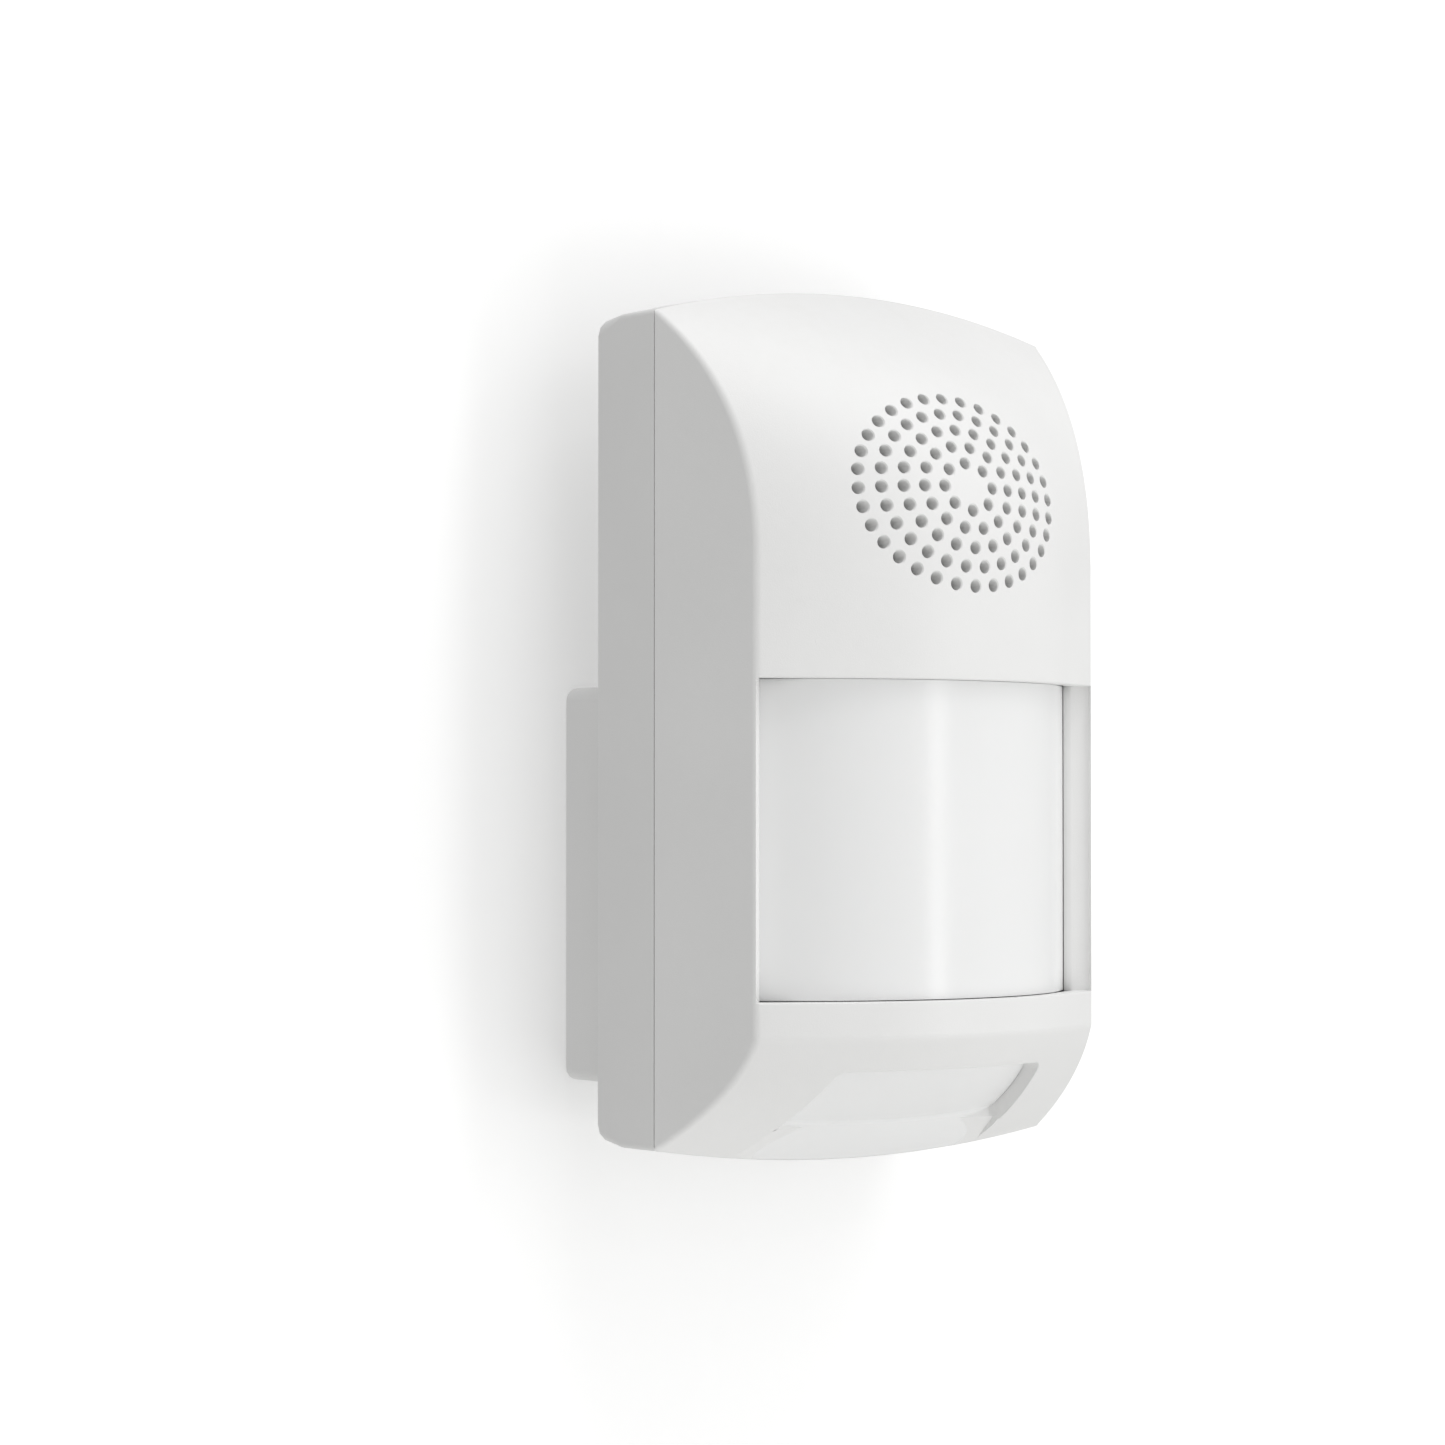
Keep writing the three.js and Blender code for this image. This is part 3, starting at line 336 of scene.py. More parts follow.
# %% [markdown]
# Beside the lens the cover has no flat front: two hollow cheeks slope from the outer edge down to the lens,
# which lets the lens see to the sides. Their outline is laid on a filled circle and extruded upwards.

# %% Cheeks beside the lens
CHEEK = [
    (26.98, 0.42), (26.5, 0.92), (26.0, 1.28), (25.5, 1.57), (25.05, 1.82), (24.75, 2.1), (24.6, 2.4),
    (24.55, 2.62), (25.25, 2.62), (25.5, 3.0), (27.6, 3.0), (27.35, 2.0),
]  # sideways, and behind the edge


def cheek(side):
    """The cheek on one side, -1 left or 1 right."""
    bpy.ops.object.select_all(action="DESELECT")
    bpy.ops.mesh.primitive_circle_add(vertices=len(CHEEK), radius=1, fill_type="NGON")
    made = bpy.context.object
    for vertex, (x, behind) in zip(made.data.vertices, CHEEK):
        vertex.co = (side * x * MM, (EDGE + behind) * MM, (LENS_BOTTOM - 0.4) * MM)
    in_edit_mode(made)
    bpy.ops.mesh.select_all(action="SELECT")
    height = (LENS_TOP - LENS_BOTTOM + 0.8) * MM
    bpy.ops.mesh.extrude_region_move(TRANSFORM_OT_translate={"value": (0, 0, height)})
    bpy.ops.mesh.select_all(action="SELECT")
    bpy.ops.mesh.normals_make_consistent(inside=False)
    bpy.ops.object.mode_set(mode="OBJECT")
    return made


for side in (-1, 1):
    cut(cover, cheek(side), "UNION")
print("with cheeks:", len(cover.data.polygons), "faces")

# %% [markdown]
# ## The speaker's holes
# The grille is five rings of small round holes on an ellipse, drilled along the speaker's own tilted axis.
# A real moulding breaks the edge of each hole a little, so one cutter is a small cone laid on the skin and
# the other a plain drill. Each is modelled once, copied to every place, joined and used in one cut.

# %% Where each hole goes
GRILLE_Z, GRILLE_TILT = TOP - 21.1, math.radians(15)
RINGS, RING_WIDE, RING_TALL, INNER_SHARE = (8, 14, 20, 26, 32), 30.4, 23.8, 0.25
HOLE_RADIUS = 0.76


def face_ahead(height):
    """Depth of the face at its middle, at a height in the upper curve."""
    low, high = 0.0, 1.0
    for _ in range(30):
        t = (low + high) / 2
        low, high = (t, high) if skin(0, ("top", t)).z < height * MM else (low, t)
    return -skin(0, ("top", low)).y / MM + SEAM


AXIS = Vector((0, math.cos(GRILLE_TILT), -math.sin(GRILLE_TILT)))  # into the cover
UPWARD = Vector((0, math.sin(GRILLE_TILT), math.cos(GRILLE_TILT)))
GRILLE_CENTRE = Vector((0, SEAM - face_ahead(GRILLE_Z), GRILLE_Z)) * MM


def in_grille(x, z, depth=0.0):
    """A point given in the speaker's own frame, in millimetres."""
    return GRILLE_CENTRE + (Vector((x, 0, 0)) + UPWARD * z + AXIS * depth) * MM


def on_skin(target, start):
    """Where a line along the speaker's axis meets the target, and the normal there."""
    return target.ray_cast(start - AXIS * 20 * MM, AXIS)[1:3]


hole_places = []
for ring, count in enumerate(RINGS):
    share = INNER_SHARE + (1 - INNER_SHARE) * ring / (len(RINGS) - 1)
    for i in range(count):
        turn = 2 * math.pi * i / count
        hole_places.append((share * RING_WIDE / 2 * math.cos(turn), share * RING_TALL / 2 * math.sin(turn)))
print("holes:", len(hole_places), "centre at", [round(c / MM, 2) for c in GRILLE_CENTRE])


# %% Cut them
def copies(model, places):
    """Copies of a model, each turned so that its Z lies along a direction and put at a point, joined."""
    made = []
    for point, direction in places:
        piece = model.copy()
        piece.data = model.data.copy()
        bpy.context.scene.collection.objects.link(piece)
        piece.rotation_mode = "QUATERNION"
        piece.rotation_quaternion = direction.to_track_quat("Z", "Y")
        piece.location = point
        made.append(piece)
    bpy.data.objects.remove(model)
    bpy.ops.object.select_all(action="DESELECT")
    for piece in made:
        piece.select_set(True)
    bpy.context.view_layer.objects.active = made[0]
    bpy.ops.object.transform_apply(location=True, rotation=True, scale=True)
    if len(made) > 1:
        bpy.ops.object.join()
    return bpy.context.object


skin_copy = cover.copy()
skin_copy.data = cover.data.copy()
bpy.context.scene.collection.objects.link(skin_copy)
bpy.context.view_layer.update()
spots = [on_skin(skin_copy, in_grille(x, z)) for x, z in hole_places]
SCREW_CIRCLE = 17.4
screw_turns = [math.radians(a) for a in (30, 150, 270)]
RING_SCREWS = [(SCREW_CIRCLE * math.cos(a), SCREW_CIRCLE * math.sin(a)) for a in screw_turns]
boss_roots = [on_skin(skin_copy, in_grille(x, z))[0] + AXIS * MM for x, z in RING_SCREWS]
bpy.data.objects.remove(skin_copy)
CHAMFER = 0.14
bpy.ops.object.select_all(action="DESELECT")
bpy.ops.mesh.primitive_cone_add(
    vertices=20, radius1=HOLE_RADIUS * MM, radius2=(HOLE_RADIUS + 3 * CHAMFER) * MM, depth=3 * CHAMFER * MM
)
cone = bpy.context.object
for vertex in cone.data.vertices:
    vertex.co.z += 0.5 * CHAMFER * MM
cut(cover, copies(cone, spots))
bpy.ops.object.select_all(action="DESELECT")
bpy.ops.mesh.primitive_cylinder_add(vertices=20, radius=HOLE_RADIUS * MM, depth=7 * MM)
cut(cover, copies(bpy.context.object, [(point, AXIS) for point, _ in spots]))
print("cover with holes:", len(cover.data.polygons), "faces")

# %% [markdown]
# ## Broken edges and inner fittings
# The lips of the lens opening and of the window have a small radius. Their edges are found in code, as the
# sharp ones whose ends lie on the skin, and bevelled in edit mode. Inside the cover stand plain fittings:
# three bosses for the speaker's ring, three posts, two hinge tongues, and the fork that the case screw
# holds.

# %% Round the lips
def off_skin(point):
    """How far a point lies from the outer skin, in millimetres, along the height or depth."""
    x, y, z = (c / MM for c in point)
    ahead = SEAM - y
    u = max(-1, min(1, x / (HALF - LEAN * ahead)))
    if z > CREASE:
        return abs(ahead - depth_at(u))
    forward = max(0, min(1, ahead / depth_at(u)))
    t = (1.6 - math.sqrt(max(0, 2.56 - 2.4 * forward))) / 1.2  # the chin's curve, solved for its place
    return abs(skin(u, ("chin", t)).z / MM - z)


ON_SKIN, SHARP = 0.12, math.radians(35)


def is_lip(edge):
    """An edge of the lens opening or the window, on the outer skin."""
    if len(edge.link_faces) != 2 or edge.calc_face_angle() < SHARP:
        return False
    if any(off_skin(v.co) > ON_SKIN for v in edge.verts):
        return False
    ends = [v.co / MM for v in edge.verts]
    for lip in (LENS_BOTTOM, LENS_TOP):
        if all(abs(e.z - lip) < 0.01 and abs(e.x) < CHEEK_X - 0.3 for e in ends):
            return True
    return all(e.z < WINDOW_TOP + 0.1 and abs(e.x) < 20 and e.y < SEAM - 5 for e in ends)


in_edit_mode(cover, "EDGE")
print("lens lip edges:", pick(cover, lambda e: is_lip(e) and e.verts[0].co.z > CREASE * MM))
bpy.ops.mesh.bevel(offset=0.22 * MM, segments=3)
bpy.ops.mesh.select_all(action="DESELECT")
print("window lip edges:", pick(cover, lambda e: is_lip(e) and e.verts[0].co.z < CREASE * MM))
bpy.ops.mesh.bevel(offset=0.12 * MM, segments=2)
bpy.ops.object.mode_set(mode="OBJECT")


# %% Fittings inside the cover
def bar(start, end, radius, sides=24, tip=0.0):
    """A round bar between two points in metres, with its far end broken by tip millimetres."""
    bpy.ops.object.select_all(action="DESELECT")
    bpy.ops.mesh.primitive_cylinder_add(vertices=sides, radius=radius * MM, depth=(end - start).length)
    made = bpy.context.object
    if tip:
        in_edit_mode(made, "FACE")
        pick(made, lambda f: f.normal.z > 0.9, "faces")
        bpy.ops.mesh.bevel(offset=tip * MM, segments=2)
        bpy.ops.object.mode_set(mode="OBJECT")
    made.rotation_mode = "QUATERNION"
    made.rotation_quaternion = (end - start).to_track_quat("Z", "Y")
    made.location = (start + end) / 2
    bpy.ops.object.transform_apply(location=True, rotation=True, scale=True)
    return made


def point(x, y, z):
    """A point given in millimetres."""
    return Vector((x, y, z)) * MM


SPEAKER_DEPTH = WALL + 0.1834 * (SIDE_DEPTH + CROWN)  # speaker's rim behind the face
POST_END = SEAM - 6
fittings = []
for x, z, radius in ((-19, 29, 1.5), (-9.5, 29.5, 1.3), (9.5, 29.5, 1.3)):
    front = SEAM - depth_at(x / 27) + 1
    fittings.append(bar(point(x, front, z), point(x, POST_END, z), radius, tip=0.25))
for (x, z), start in zip(RING_SCREWS, boss_roots):
    fittings.append(bar(start, in_grille(x, z, SPEAKER_DEPTH + 1), 2.1, tip=0.2))
TONGUE_OUTER, TONGUE_INNER = 4.2, 2.8  # radii about the hinge
for side in (-1, 1):
    left, right, axis = side * 8 - 3, side * 8 + 3, TOP + ARCH_TOP
    tongue = bar(point(left, SEAM, axis), point(right, SEAM, axis), TONGUE_OUTER, sides=64)
    cut(tongue, bar(point(left - 1, SEAM, axis), point(right + 1, SEAM, axis), TONGUE_INNER, sides=64))
    cut(tongue, block((left - 1, SEAM - 2, axis - 5), (right + 1, SEAM + 1.9, axis - 2)), "INTERSECT")
    fittings.append(tongue)
FORK_HALF, SLOT_HALF, SLOT_END = 4, 1.4, SEAM + 4
foot = BOTTOM - ARCH_BOTTOM
fork_low, fork_high = foot + 4.7, foot + 6.5
fork = block((-FORK_HALF, SEAM - 4.2, fork_low), (FORK_HALF, SEAM + 7, fork_high))
cut(fork, block((-SLOT_HALF, SLOT_END, fork_low - 1), (SLOT_HALF, SEAM + 8, fork_high + 1)))
cut(fork, bar(point(0, SLOT_END, fork_low - 1), point(0, SLOT_END, fork_high + 1), SLOT_HALF))
neck = block((-FORK_HALF, SEAM - 4.6, foot + 4.2), (FORK_HALF, SEAM - 1.6, fork_high))
fittings += [fork, neck]
for piece in fittings:
    cut(cover, piece, "UNION")
for x, z in RING_SCREWS:
    cut(cover, bar(in_grille(x, z, SPEAKER_DEPTH - 0.4), in_grille(x, z, SPEAKER_DEPTH + 4), 1.2))
print("cover with fittings:", len(cover.data.polygons), "faces")

# %% [markdown]
# Small faces beside big ones pull smooth shading askew. A Weighted Normal modifier lets the large faces
# decide, so the skin stays calm right up to each lip and hole. Then the shell takes its node's place.

# %% Finish the cover
def finish_piece(piece, name, body, nodes, angle=30):
    """Merges doubles, smooths by angle, names the piece and puts it in its node's place."""
    in_edit_mode(piece)
    bpy.ops.mesh.select_all(action="SELECT")
    bpy.ops.mesh.remove_doubles(threshold=1e-6)
    bpy.ops.object.mode_set(mode="OBJECT")
    bpy.ops.object.shade_smooth_by_angle(angle=math.radians(angle))
    calm = piece.modifiers.new("calm", "WEIGHTED_NORMAL")
    calm.keep_sharp, calm.weight = True, 90
    bpy.ops.object.modifier_apply(modifier=calm.name)
    piece.name = name
    piece.data.name = name
    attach(piece, body)
    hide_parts(*nodes)
    return piece


finish_piece(cover, "cover_shell", "cover", ["front_cover"])

# %% [markdown]
# ## The main lens
# The lens is a thin milky sheet bent on an upright axis. On the real one the outside is smooth and the
# inside carries fine rings that focus the heat. It is modelled as a grid bent to the radius and thickened;
# the rings are cut into the inside as relief in its material.

# %% Bent sheet
PILLAR_WIDTH, LENS_PLAY = 1.6, 1
LENS_WIDTH = 2 * (HALF - SIDE_LEAN - PILLAR_WIDTH) - LENS_PLAY
LENS_RADIUS, LENS_FRONT = 0.703 * LENS_WIDTH, FRONT + 1.2


def bent_sheet(name, radius, thickness, width, low, high, columns, rows):
    """An upright sheet bent about an axis behind it; radius is that of its outer face."""
    bpy.ops.object.select_all(action="DESELECT")
    bpy.ops.mesh.primitive_grid_add(x_subdivisions=columns, y_subdivisions=rows, size=2)
    sheet = bpy.context.object
    sheet.name = name
    reach = math.asin(width / 2 / radius)
    axis_y = LENS_FRONT + LENS_RADIUS
    for vertex in sheet.data.vertices:
        angle = reach * vertex.co.x
        height = (low + high) / 2 + vertex.co.y * (high - low) / 2
        vertex.co = point(radius * math.sin(angle), axis_y - radius * math.cos(angle), height)
    in_edit_mode(sheet)
    bpy.ops.mesh.select_all(action="SELECT")
    bpy.ops.mesh.normals_make_consistent(inside=False)
    bpy.ops.object.mode_set(mode="OBJECT")
    if sheet.data.polygons[0].normal.y > 0:
        sheet.data.flip_normals()
    wall = sheet.modifiers.new("wall", "SOLIDIFY")
    wall.thickness, wall.offset = thickness * MM, -1
    bpy.ops.object.modifier_apply(modifier=wall.name)
    return sheet


lens = bent_sheet("lens_sheet", LENS_RADIUS, 0.8, LENS_WIDTH, LENS_BOTTOM + 0.12, LENS_TOP - 0.04, 72, 6)
finish_piece(lens, "lens_sheet", "cover", ["fresnel_lens"])
print("lens size:", [round(length / MM, 1) for length in lens.dimensions])

# %% [markdown]
# ## The look-down lens
# Under the chin's window lies a second lens. It follows the chin 2.1 mm below the skin, turns down in a
# soft fold, and runs on as a sloping band to the cover's lower edge. A grid is laid on the inset form, its
# last rows are bent round the fold, and the thickened sheet is trimmed by the window's own outline.

# %% Folded sheet
SUNK, HEAD_PLACE = 2.1, 0.92  # below the skin, and how far up the chin the lens begins
FOLD_START, FOLD_RADIUS, FOLD_TURN = 0.232, 1.2, math.radians(68)
LOW_LENS_REAR = SEAM - 0.25


def chin_lens_point(u, place):
    """A point of the look-down lens: 0 at its head, 1 to 2 round the fold, 3 at the lower edge."""
    start = skin(u, ("chin", HEAD_PLACE + (FOLD_START - HEAD_PLACE) * min(place, 1)), SUNK)
    if place <= 1:
        return start
    before = skin(u, ("chin", FOLD_START + 0.01), SUNK)
    slope = math.atan2(before.z - start.z, start.y - before.y)
    angle = slope + (FOLD_TURN - slope) * min(place - 1, 1)
    start.y += FOLD_RADIUS * MM * (math.sin(angle) - math.sin(slope))
    start.z -= FOLD_RADIUS * MM * (math.cos(slope) - math.cos(angle))
    if place <= 2:
        return start
    share = place - 2
    foot_y, foot_z = LOW_LENS_REAR * MM, (BOTTOM - arc(start.x / MM, ARCH_BOTTOM) + 0.12) * MM
    height = start.z + (foot_z - start.z) * share
    hollow = curve(start.y, start.y + 0.35 * (foot_y - start.y), foot_y, share)
    return Vector((start.x, hollow, height))


CHIN_PLACES = even(0, 1, 16) + even(1, 2, 10)[1:] + even(2, 3, 8)[1:]
bpy.ops.object.select_all(action="DESELECT")
bpy.ops.mesh.primitive_grid_add(x_subdivisions=60, y_subdivisions=len(CHIN_PLACES) - 1, size=2)
chin_lens = bpy.context.object
for vertex in chin_lens.data.vertices:
    row = round((vertex.co.y + 1) / 2 * (len(CHIN_PLACES) - 1))
    vertex.co = chin_lens_point(vertex.co.x * 0.8, CHIN_PLACES[row])
if chin_lens.data.polygons[0].normal.y > 0:
    chin_lens.data.flip_normals()
only(chin_lens)
wall = chin_lens.modifiers.new("wall", "SOLIDIFY")
wall.thickness, wall.offset = 0.6 * MM, -1
bpy.ops.object.modifier_apply(modifier=wall.name)
cut(chin_lens, window_prism(-0.06, LOW_LENS_REAR, 0.92), "INTERSECT")
finish_piece(chin_lens, "chin_lens", "cover", ["creep_lens"])
print("look-down lens:", len(chin_lens.data.polygons), "faces")

# %% [markdown]
# ## The other solid parts
# Bracket, housing, board and speaker parts already have the right shape, but their edges are as sharp as
# the solids. Each is copied, its loose triangles are merged into clean faces, and the sharp edges get the
# small radius that a mould, a press or a cutter leaves. The copy then stands for its node.

# %% Refine a node
BODY_OF = {node: body for body, nodes in frame["record"]["behaviour"]["bodies"].items() for node in nodes}


def refine(node, radius, segments=2, sharp=38, smooth=34):
    """A copy of a node with merged faces and edges rounded by radius millimetres."""
    source = frame["nodes"][node]
    piece = source.copy()
    piece.data = source.data.copy()
    piece.parent = None
    for key in list(piece.keys()):
        del piece[key]
    bpy.context.scene.collection.objects.link(piece)
    in_edit_mode(piece)
    bpy.ops.mesh.select_all(action="SELECT")
    bpy.ops.mesh.remove_doubles(threshold=2e-6)
    bpy.ops.mesh.dissolve_limited(angle_limit=math.radians(0.6))
    bpy.ops.mesh.select_mode(type="EDGE")
    bpy.ops.mesh.select_all(action="DESELECT")
    found = pick(piece, lambda e: len(e.link_faces) == 2 and e.calc_face_angle() > math.radians(sharp))
    bpy.ops.object.mode_set(mode="OBJECT")
    if found and radius:
        soften = piece.modifiers.new("soften", "BEVEL")
        soften.width, soften.segments = radius * MM, segments
        soften.limit_method, soften.angle_limit = "ANGLE", math.radians(sharp)
        only(piece)
        bpy.ops.object.modifier_apply(modifier=soften.name)
    return finish_piece(piece, node + "_fine", BODY_OF[node], [node], smooth)


RADII = {
    "wall_bracket": 0.35, "rear_housing": 0.1, "lens_retainer": 0.2, "creep_lens_retainer": 0.12,
    "circuit_board": 0.08, "board_screw_1": 0.12, "board_screw_2": 0.12, "sensor_can": 0.18,
    "sensor_collar": 0.2, "controller_chip": 0.08, "radio_chip": 0.06, "radio_shield": 0.18,
    "crystal": 0.2, "capacitor_1": 0.22, "capacitor_2": 0.22, "tamper_switch": 0.15,
    "learn_button_base": 0.15, "learn_button_cap": 0.2, "power_switch_body": 0.15,
    "power_switch_slider": 0.15, "jumper_header": 0.06, "jumper_cap": 0.15, "battery_tray": 0.2,
    "battery_1": 0.12, "battery_2": 0.12, "battery_contact_1": 0.1, "battery_contact_2": 0.1,
    "case_screw": 0.15, "tamper_plunger": 0.15, "speaker_ring": 0.15, "ring_screw_1": 0.1,
    "ring_screw_2": 0.1, "ring_screw_3": 0.1, "speaker_terminal_board": 0.08, "sensor_window": 0.06,
    "speaker_frame": 0.08, "speaker_magnet": 0.15, "speaker_yoke": 0.15, "grille_mesh": 0.0,
    "speaker_surround": 0.0, "speaker_cone": 0.0, "speaker_dust_cap": 0.0, "status_light": 0.05,
}
fine = {node: refine(node, radius) for node, radius in RADII.items()}
WOUND = ["antenna_coil"] + [f"{kind}_spring_{i}" for kind in ("battery", "speaker_contact") for i in (1, 2)]
for wound in WOUND:
    fine[wound] = refine(wound, 0, smooth=75)
print("refined:", len(fine), "nodes,", sum(len(p.data.polygons) for p in fine.values()), "faces")

# %% [markdown]
# ## Small parts soldered to the board
# A real board carries many tiny resistors. One is modelled: a block with raised metal ends, made by
# insetting and extruding the two ends. Copies are then set on a grid wherever the board is free.

# %% One resistor and its copies
BOARD_LOW, BOARD_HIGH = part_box("circuit_board")
BOARD_FACE = BOARD_LOW.y


def chip_resistor(name):
    """A resistor 1.6 by 0.8 by 0.5 mm lying on the board, its ends a little thicker than its middle."""
    bpy.ops.object.select_all(action="DESELECT")
    bpy.ops.mesh.primitive_cube_add(size=1)
    made = bpy.context.object
    made.name = name
    made.scale = (1.0 * MM, 0.42 * MM, 0.78 * MM)
    bpy.ops.object.transform_apply(location=False, rotation=False, scale=True)
    in_edit_mode(made, "FACE")
    bpy.ops.mesh.select_all(action="DESELECT")
    for side in (-1, 1):
        pick(made, lambda f: f.normal.x * side > 0.9, "faces")
        bpy.ops.mesh.extrude_region_move(TRANSFORM_OT_translate={"value": (side * 0.3 * MM, 0, 0)})
        bpy.ops.mesh.select_all(action="DESELECT")
    raised = pick(made, lambda f: abs(f.normal.x) < 0.1 and abs(f.calc_center_median().x) > 0.5 * MM, "faces")
    bpy.ops.mesh.extrude_region_shrink_fatten(TRANSFORM_OT_shrink_fatten={"value": 0.04 * MM})
    bpy.ops.object.mode_set(mode="OBJECT")
    return made, raised


AROUND, BESIDE = ("circuit_board", "rear_housing"), ("housing", "learn_button")
PARTS_ON_BOARD = [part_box(n) for n in frame["nodes"] if n not in AROUND and BODY_OF[n] in BESIDE]
HALF_LENGTH = 0.8  # of a resistor


def board_is_free(x, z, margin=1.3):
    """Whether nothing stands on the board within margin millimetres of a spot."""
    for low, high in PARTS_ON_BOARD:
        near = low.y < BOARD_FACE + 0.5 * MM and high.y > BOARD_FACE - 2 * MM
        over_x = low.x / MM - margin - HALF_LENGTH < x < high.x / MM + margin + HALF_LENGTH
        if near and over_x and low.z / MM - margin < z < high.z / MM + margin:
            return False
    return True


pattern, raised_faces = chip_resistor("chip_resistor")
spots = []
for row in range(10):
    for column in range(9):
        x, z = -20.5 + 5.1 * column + 1.3 * (row % 3), -15.5 + 5.4 * row + 0.7 * (column % 2)
        if (row * 7 + column * 5) % 4 and board_is_free(x, z):
            spots.append((x, z))
resistors = []
for index, (x, z) in enumerate(spots):
    part = pattern.copy()
    part.data = pattern.data.copy()
    bpy.context.scene.collection.objects.link(part)
    part.location = (x * MM, BOARD_FACE - 0.25 * MM, z * MM)
    if index % 3 == 1:
        part.rotation_euler = (0, math.pi / 2, 0)
    only(part)
    bpy.ops.object.transform_apply(location=True, rotation=True, scale=True)
    part.name = f"chip_resistor_{index + 1}"
    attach(part, "housing")
    resistors.append(part)
bpy.data.objects.remove(pattern)
print("resistors:", len(resistors), "with", raised_faces, "raised faces each")

# %% [markdown]
# ## Tools for materials
# A material is a small network of nodes. Two helpers keep the cells short: one adds a node and fills its
# inputs, the other starts a group with named sockets. Whatever more than one finish needs, such as grain
# or worn edges, is such a group, built once and given its own values in each material.

# %% Node helpers
def node(tree, kind, inputs=None, **settings):
    """Add a node, apply its settings, and fill its inputs with values or with other nodes' outputs."""
    made = tree.nodes.new("ShaderNode" + kind)
    for name, value in settings.items():
        setattr(made, name, value)
    for name, value in (inputs or {}).items():
        socket = made.inputs[name]
        if isinstance(value, bpy.types.NodeSocket):
            tree.links.new(value, socket)
        else:
            socket.default_value = value
    return made


def maths(tree, operation, a, b=0.5, c=0.0, clamp=False):
    """The output of a Math node."""
    made = node(tree, "Math", {0: a, 1: b, 2: c}, operation=operation, use_clamp=clamp)
    return made.outputs[0]


def remap(tree, value, low, high, to_low=0.0, to_high=1.0):
    """A value moved smoothly from one range to another."""
    inputs = {"Value": value, "From Min": low, "From Max": high, "To Min": to_low, "To Max": to_high}
    return node(tree, "MapRange", inputs, interpolation_type="SMOOTHSTEP").outputs[0]


def noise(tree, where, scale, detail, roughness=0.5, distortion=0.0):
    """The output of a Noise Texture; its scale is in waves per metre."""
    inputs = {"Vector": where, "Scale": scale, "Detail": detail}
    inputs |= {"Roughness": roughness, "Distortion": distortion}
    return node(tree, "TexNoise", inputs).outputs[0]


def mix_colour(tree, share, a, b, how="MIX"):
    """Two colours mixed by a share."""
    made = node(tree, "Mix", data_type="RGBA", blend_type=how)
    for index, value in ((0, share), (6, a), (7, b)):
        if isinstance(value, bpy.types.NodeSocket):
            tree.links.new(value, made.inputs[index])
        else:
            made.inputs[index].default_value = value
    return made.outputs[2]


SOCKET = {"value": "NodeSocketFloat", "vector": "NodeSocketVector", "colour": "NodeSocketColor"}


def new_group(name, inputs, outputs):
    """Start a group; inputs are (name, kind, default), outputs (name, kind)."""
    tree = bpy.data.node_groups.new(name, "ShaderNodeTree")
    for label, kind, default in inputs:
        socket = tree.interface.new_socket(name=label, in_out="INPUT", socket_type=SOCKET[kind])
        if default is not None:
            socket.default_value = default
    for label, kind in outputs:
        tree.interface.new_socket(name=label, in_out="OUTPUT", socket_type=SOCKET[kind])
    return tree, tree.nodes.new("NodeGroupInput").outputs, tree.nodes.new("NodeGroupOutput").inputs


# %% [markdown]
# ### Moulded grain
# Plastic parts copy the surface of their steel mould: a very fine spark-eroded grain, faint flow clouds in
# the colour, and a gloss that changes slightly from place to place. Noise at three sizes gives all three.

# %% Group: moulded grain
tree, given, result = new_group(
    "moulded_grain",
    [("Vector", "vector", None), ("Grain per metre", "value", 5200.0), ("Cloud per metre", "value", 38.0)],
    [("Height", "value"), ("Cloud", "value"), ("Speck", "value")],
)
where, per_metre = given["Vector"], given["Grain per metre"]
grain = noise(tree, where, per_metre, 3.0)
pits = node(tree, "TexVoronoi", {"Vector": where, "Scale": per_metre}, feature="SMOOTH_F1").outputs[0]
height = maths(tree, "MULTIPLY_ADD", grain, 0.65, maths(tree, "MULTIPLY", pits, 0.35))
tree.links.new(height, result["Height"])
tree.links.new(remap(tree, noise(tree, where, given["Cloud per metre"], 4.0), 0.3, 0.7), result["Cloud"])
tree.links.new(remap(tree, noise(tree, where, 900.0, 2.0), 0.66, 0.8), result["Speck"])

# %% [markdown]
# ### Edge wear, painted edge highlight and dust
# Edges are painted lighter: partly the polish that handling leaves on them, partly a painted highlight along
# each edge. Dust settles on what faces up. A Bevel node compares the true normal with a rounded one, which
# marks edges on any mesh; noise breaks both up.

# %% Group: edges and dust
tree, given, result = new_group(
    "edges_and_dust",
    [("Vector", "vector", None), ("Amount", "value", 0.6)],
    [("Edge", "value"), ("Dust", "value")],
)
rounded = node(tree, "Bevel", {"Radius": 0.45 * MM}, samples=4).outputs[0]
true_normal = node(tree, "NewGeometry").outputs["Normal"]
bend = node(tree, "VectorMath", {0: rounded, 1: true_normal}, operation="DOT_PRODUCT")
broken = remap(tree, noise(tree, given["Vector"], 420.0, 5.0, 0.65), 0.38, 0.62)
# edge mask: edges are painted lighter with it, partly as wear and partly as a painted highlight
edge = maths(tree, "MULTIPLY", remap(tree, bend.outputs["Value"], 0.995, 0.9), broken)
tree.links.new(maths(tree, "MULTIPLY", edge, given["Amount"]), result["Edge"])
up = node(tree, "SeparateXYZ", {0: node(tree, "TexCoord").outputs["Normal"]}).outputs[2]
patches = remap(tree, noise(tree, given["Vector"], 150.0, 6.0, 0.7), 0.35, 0.75)
dust = maths(tree, "MULTIPLY", remap(tree, up, 0.2, 0.95), patches)
tree.links.new(maths(tree, "MULTIPLY", dust, given["Amount"]), result["Dust"])

# %% [markdown]
# ### Scratches and drawn metal
# Metal shows the direction it was rolled or turned in: the same noise stretched forty times along one
# axis gives both a drawn finish and, where only its peaks are kept, fine scratches.

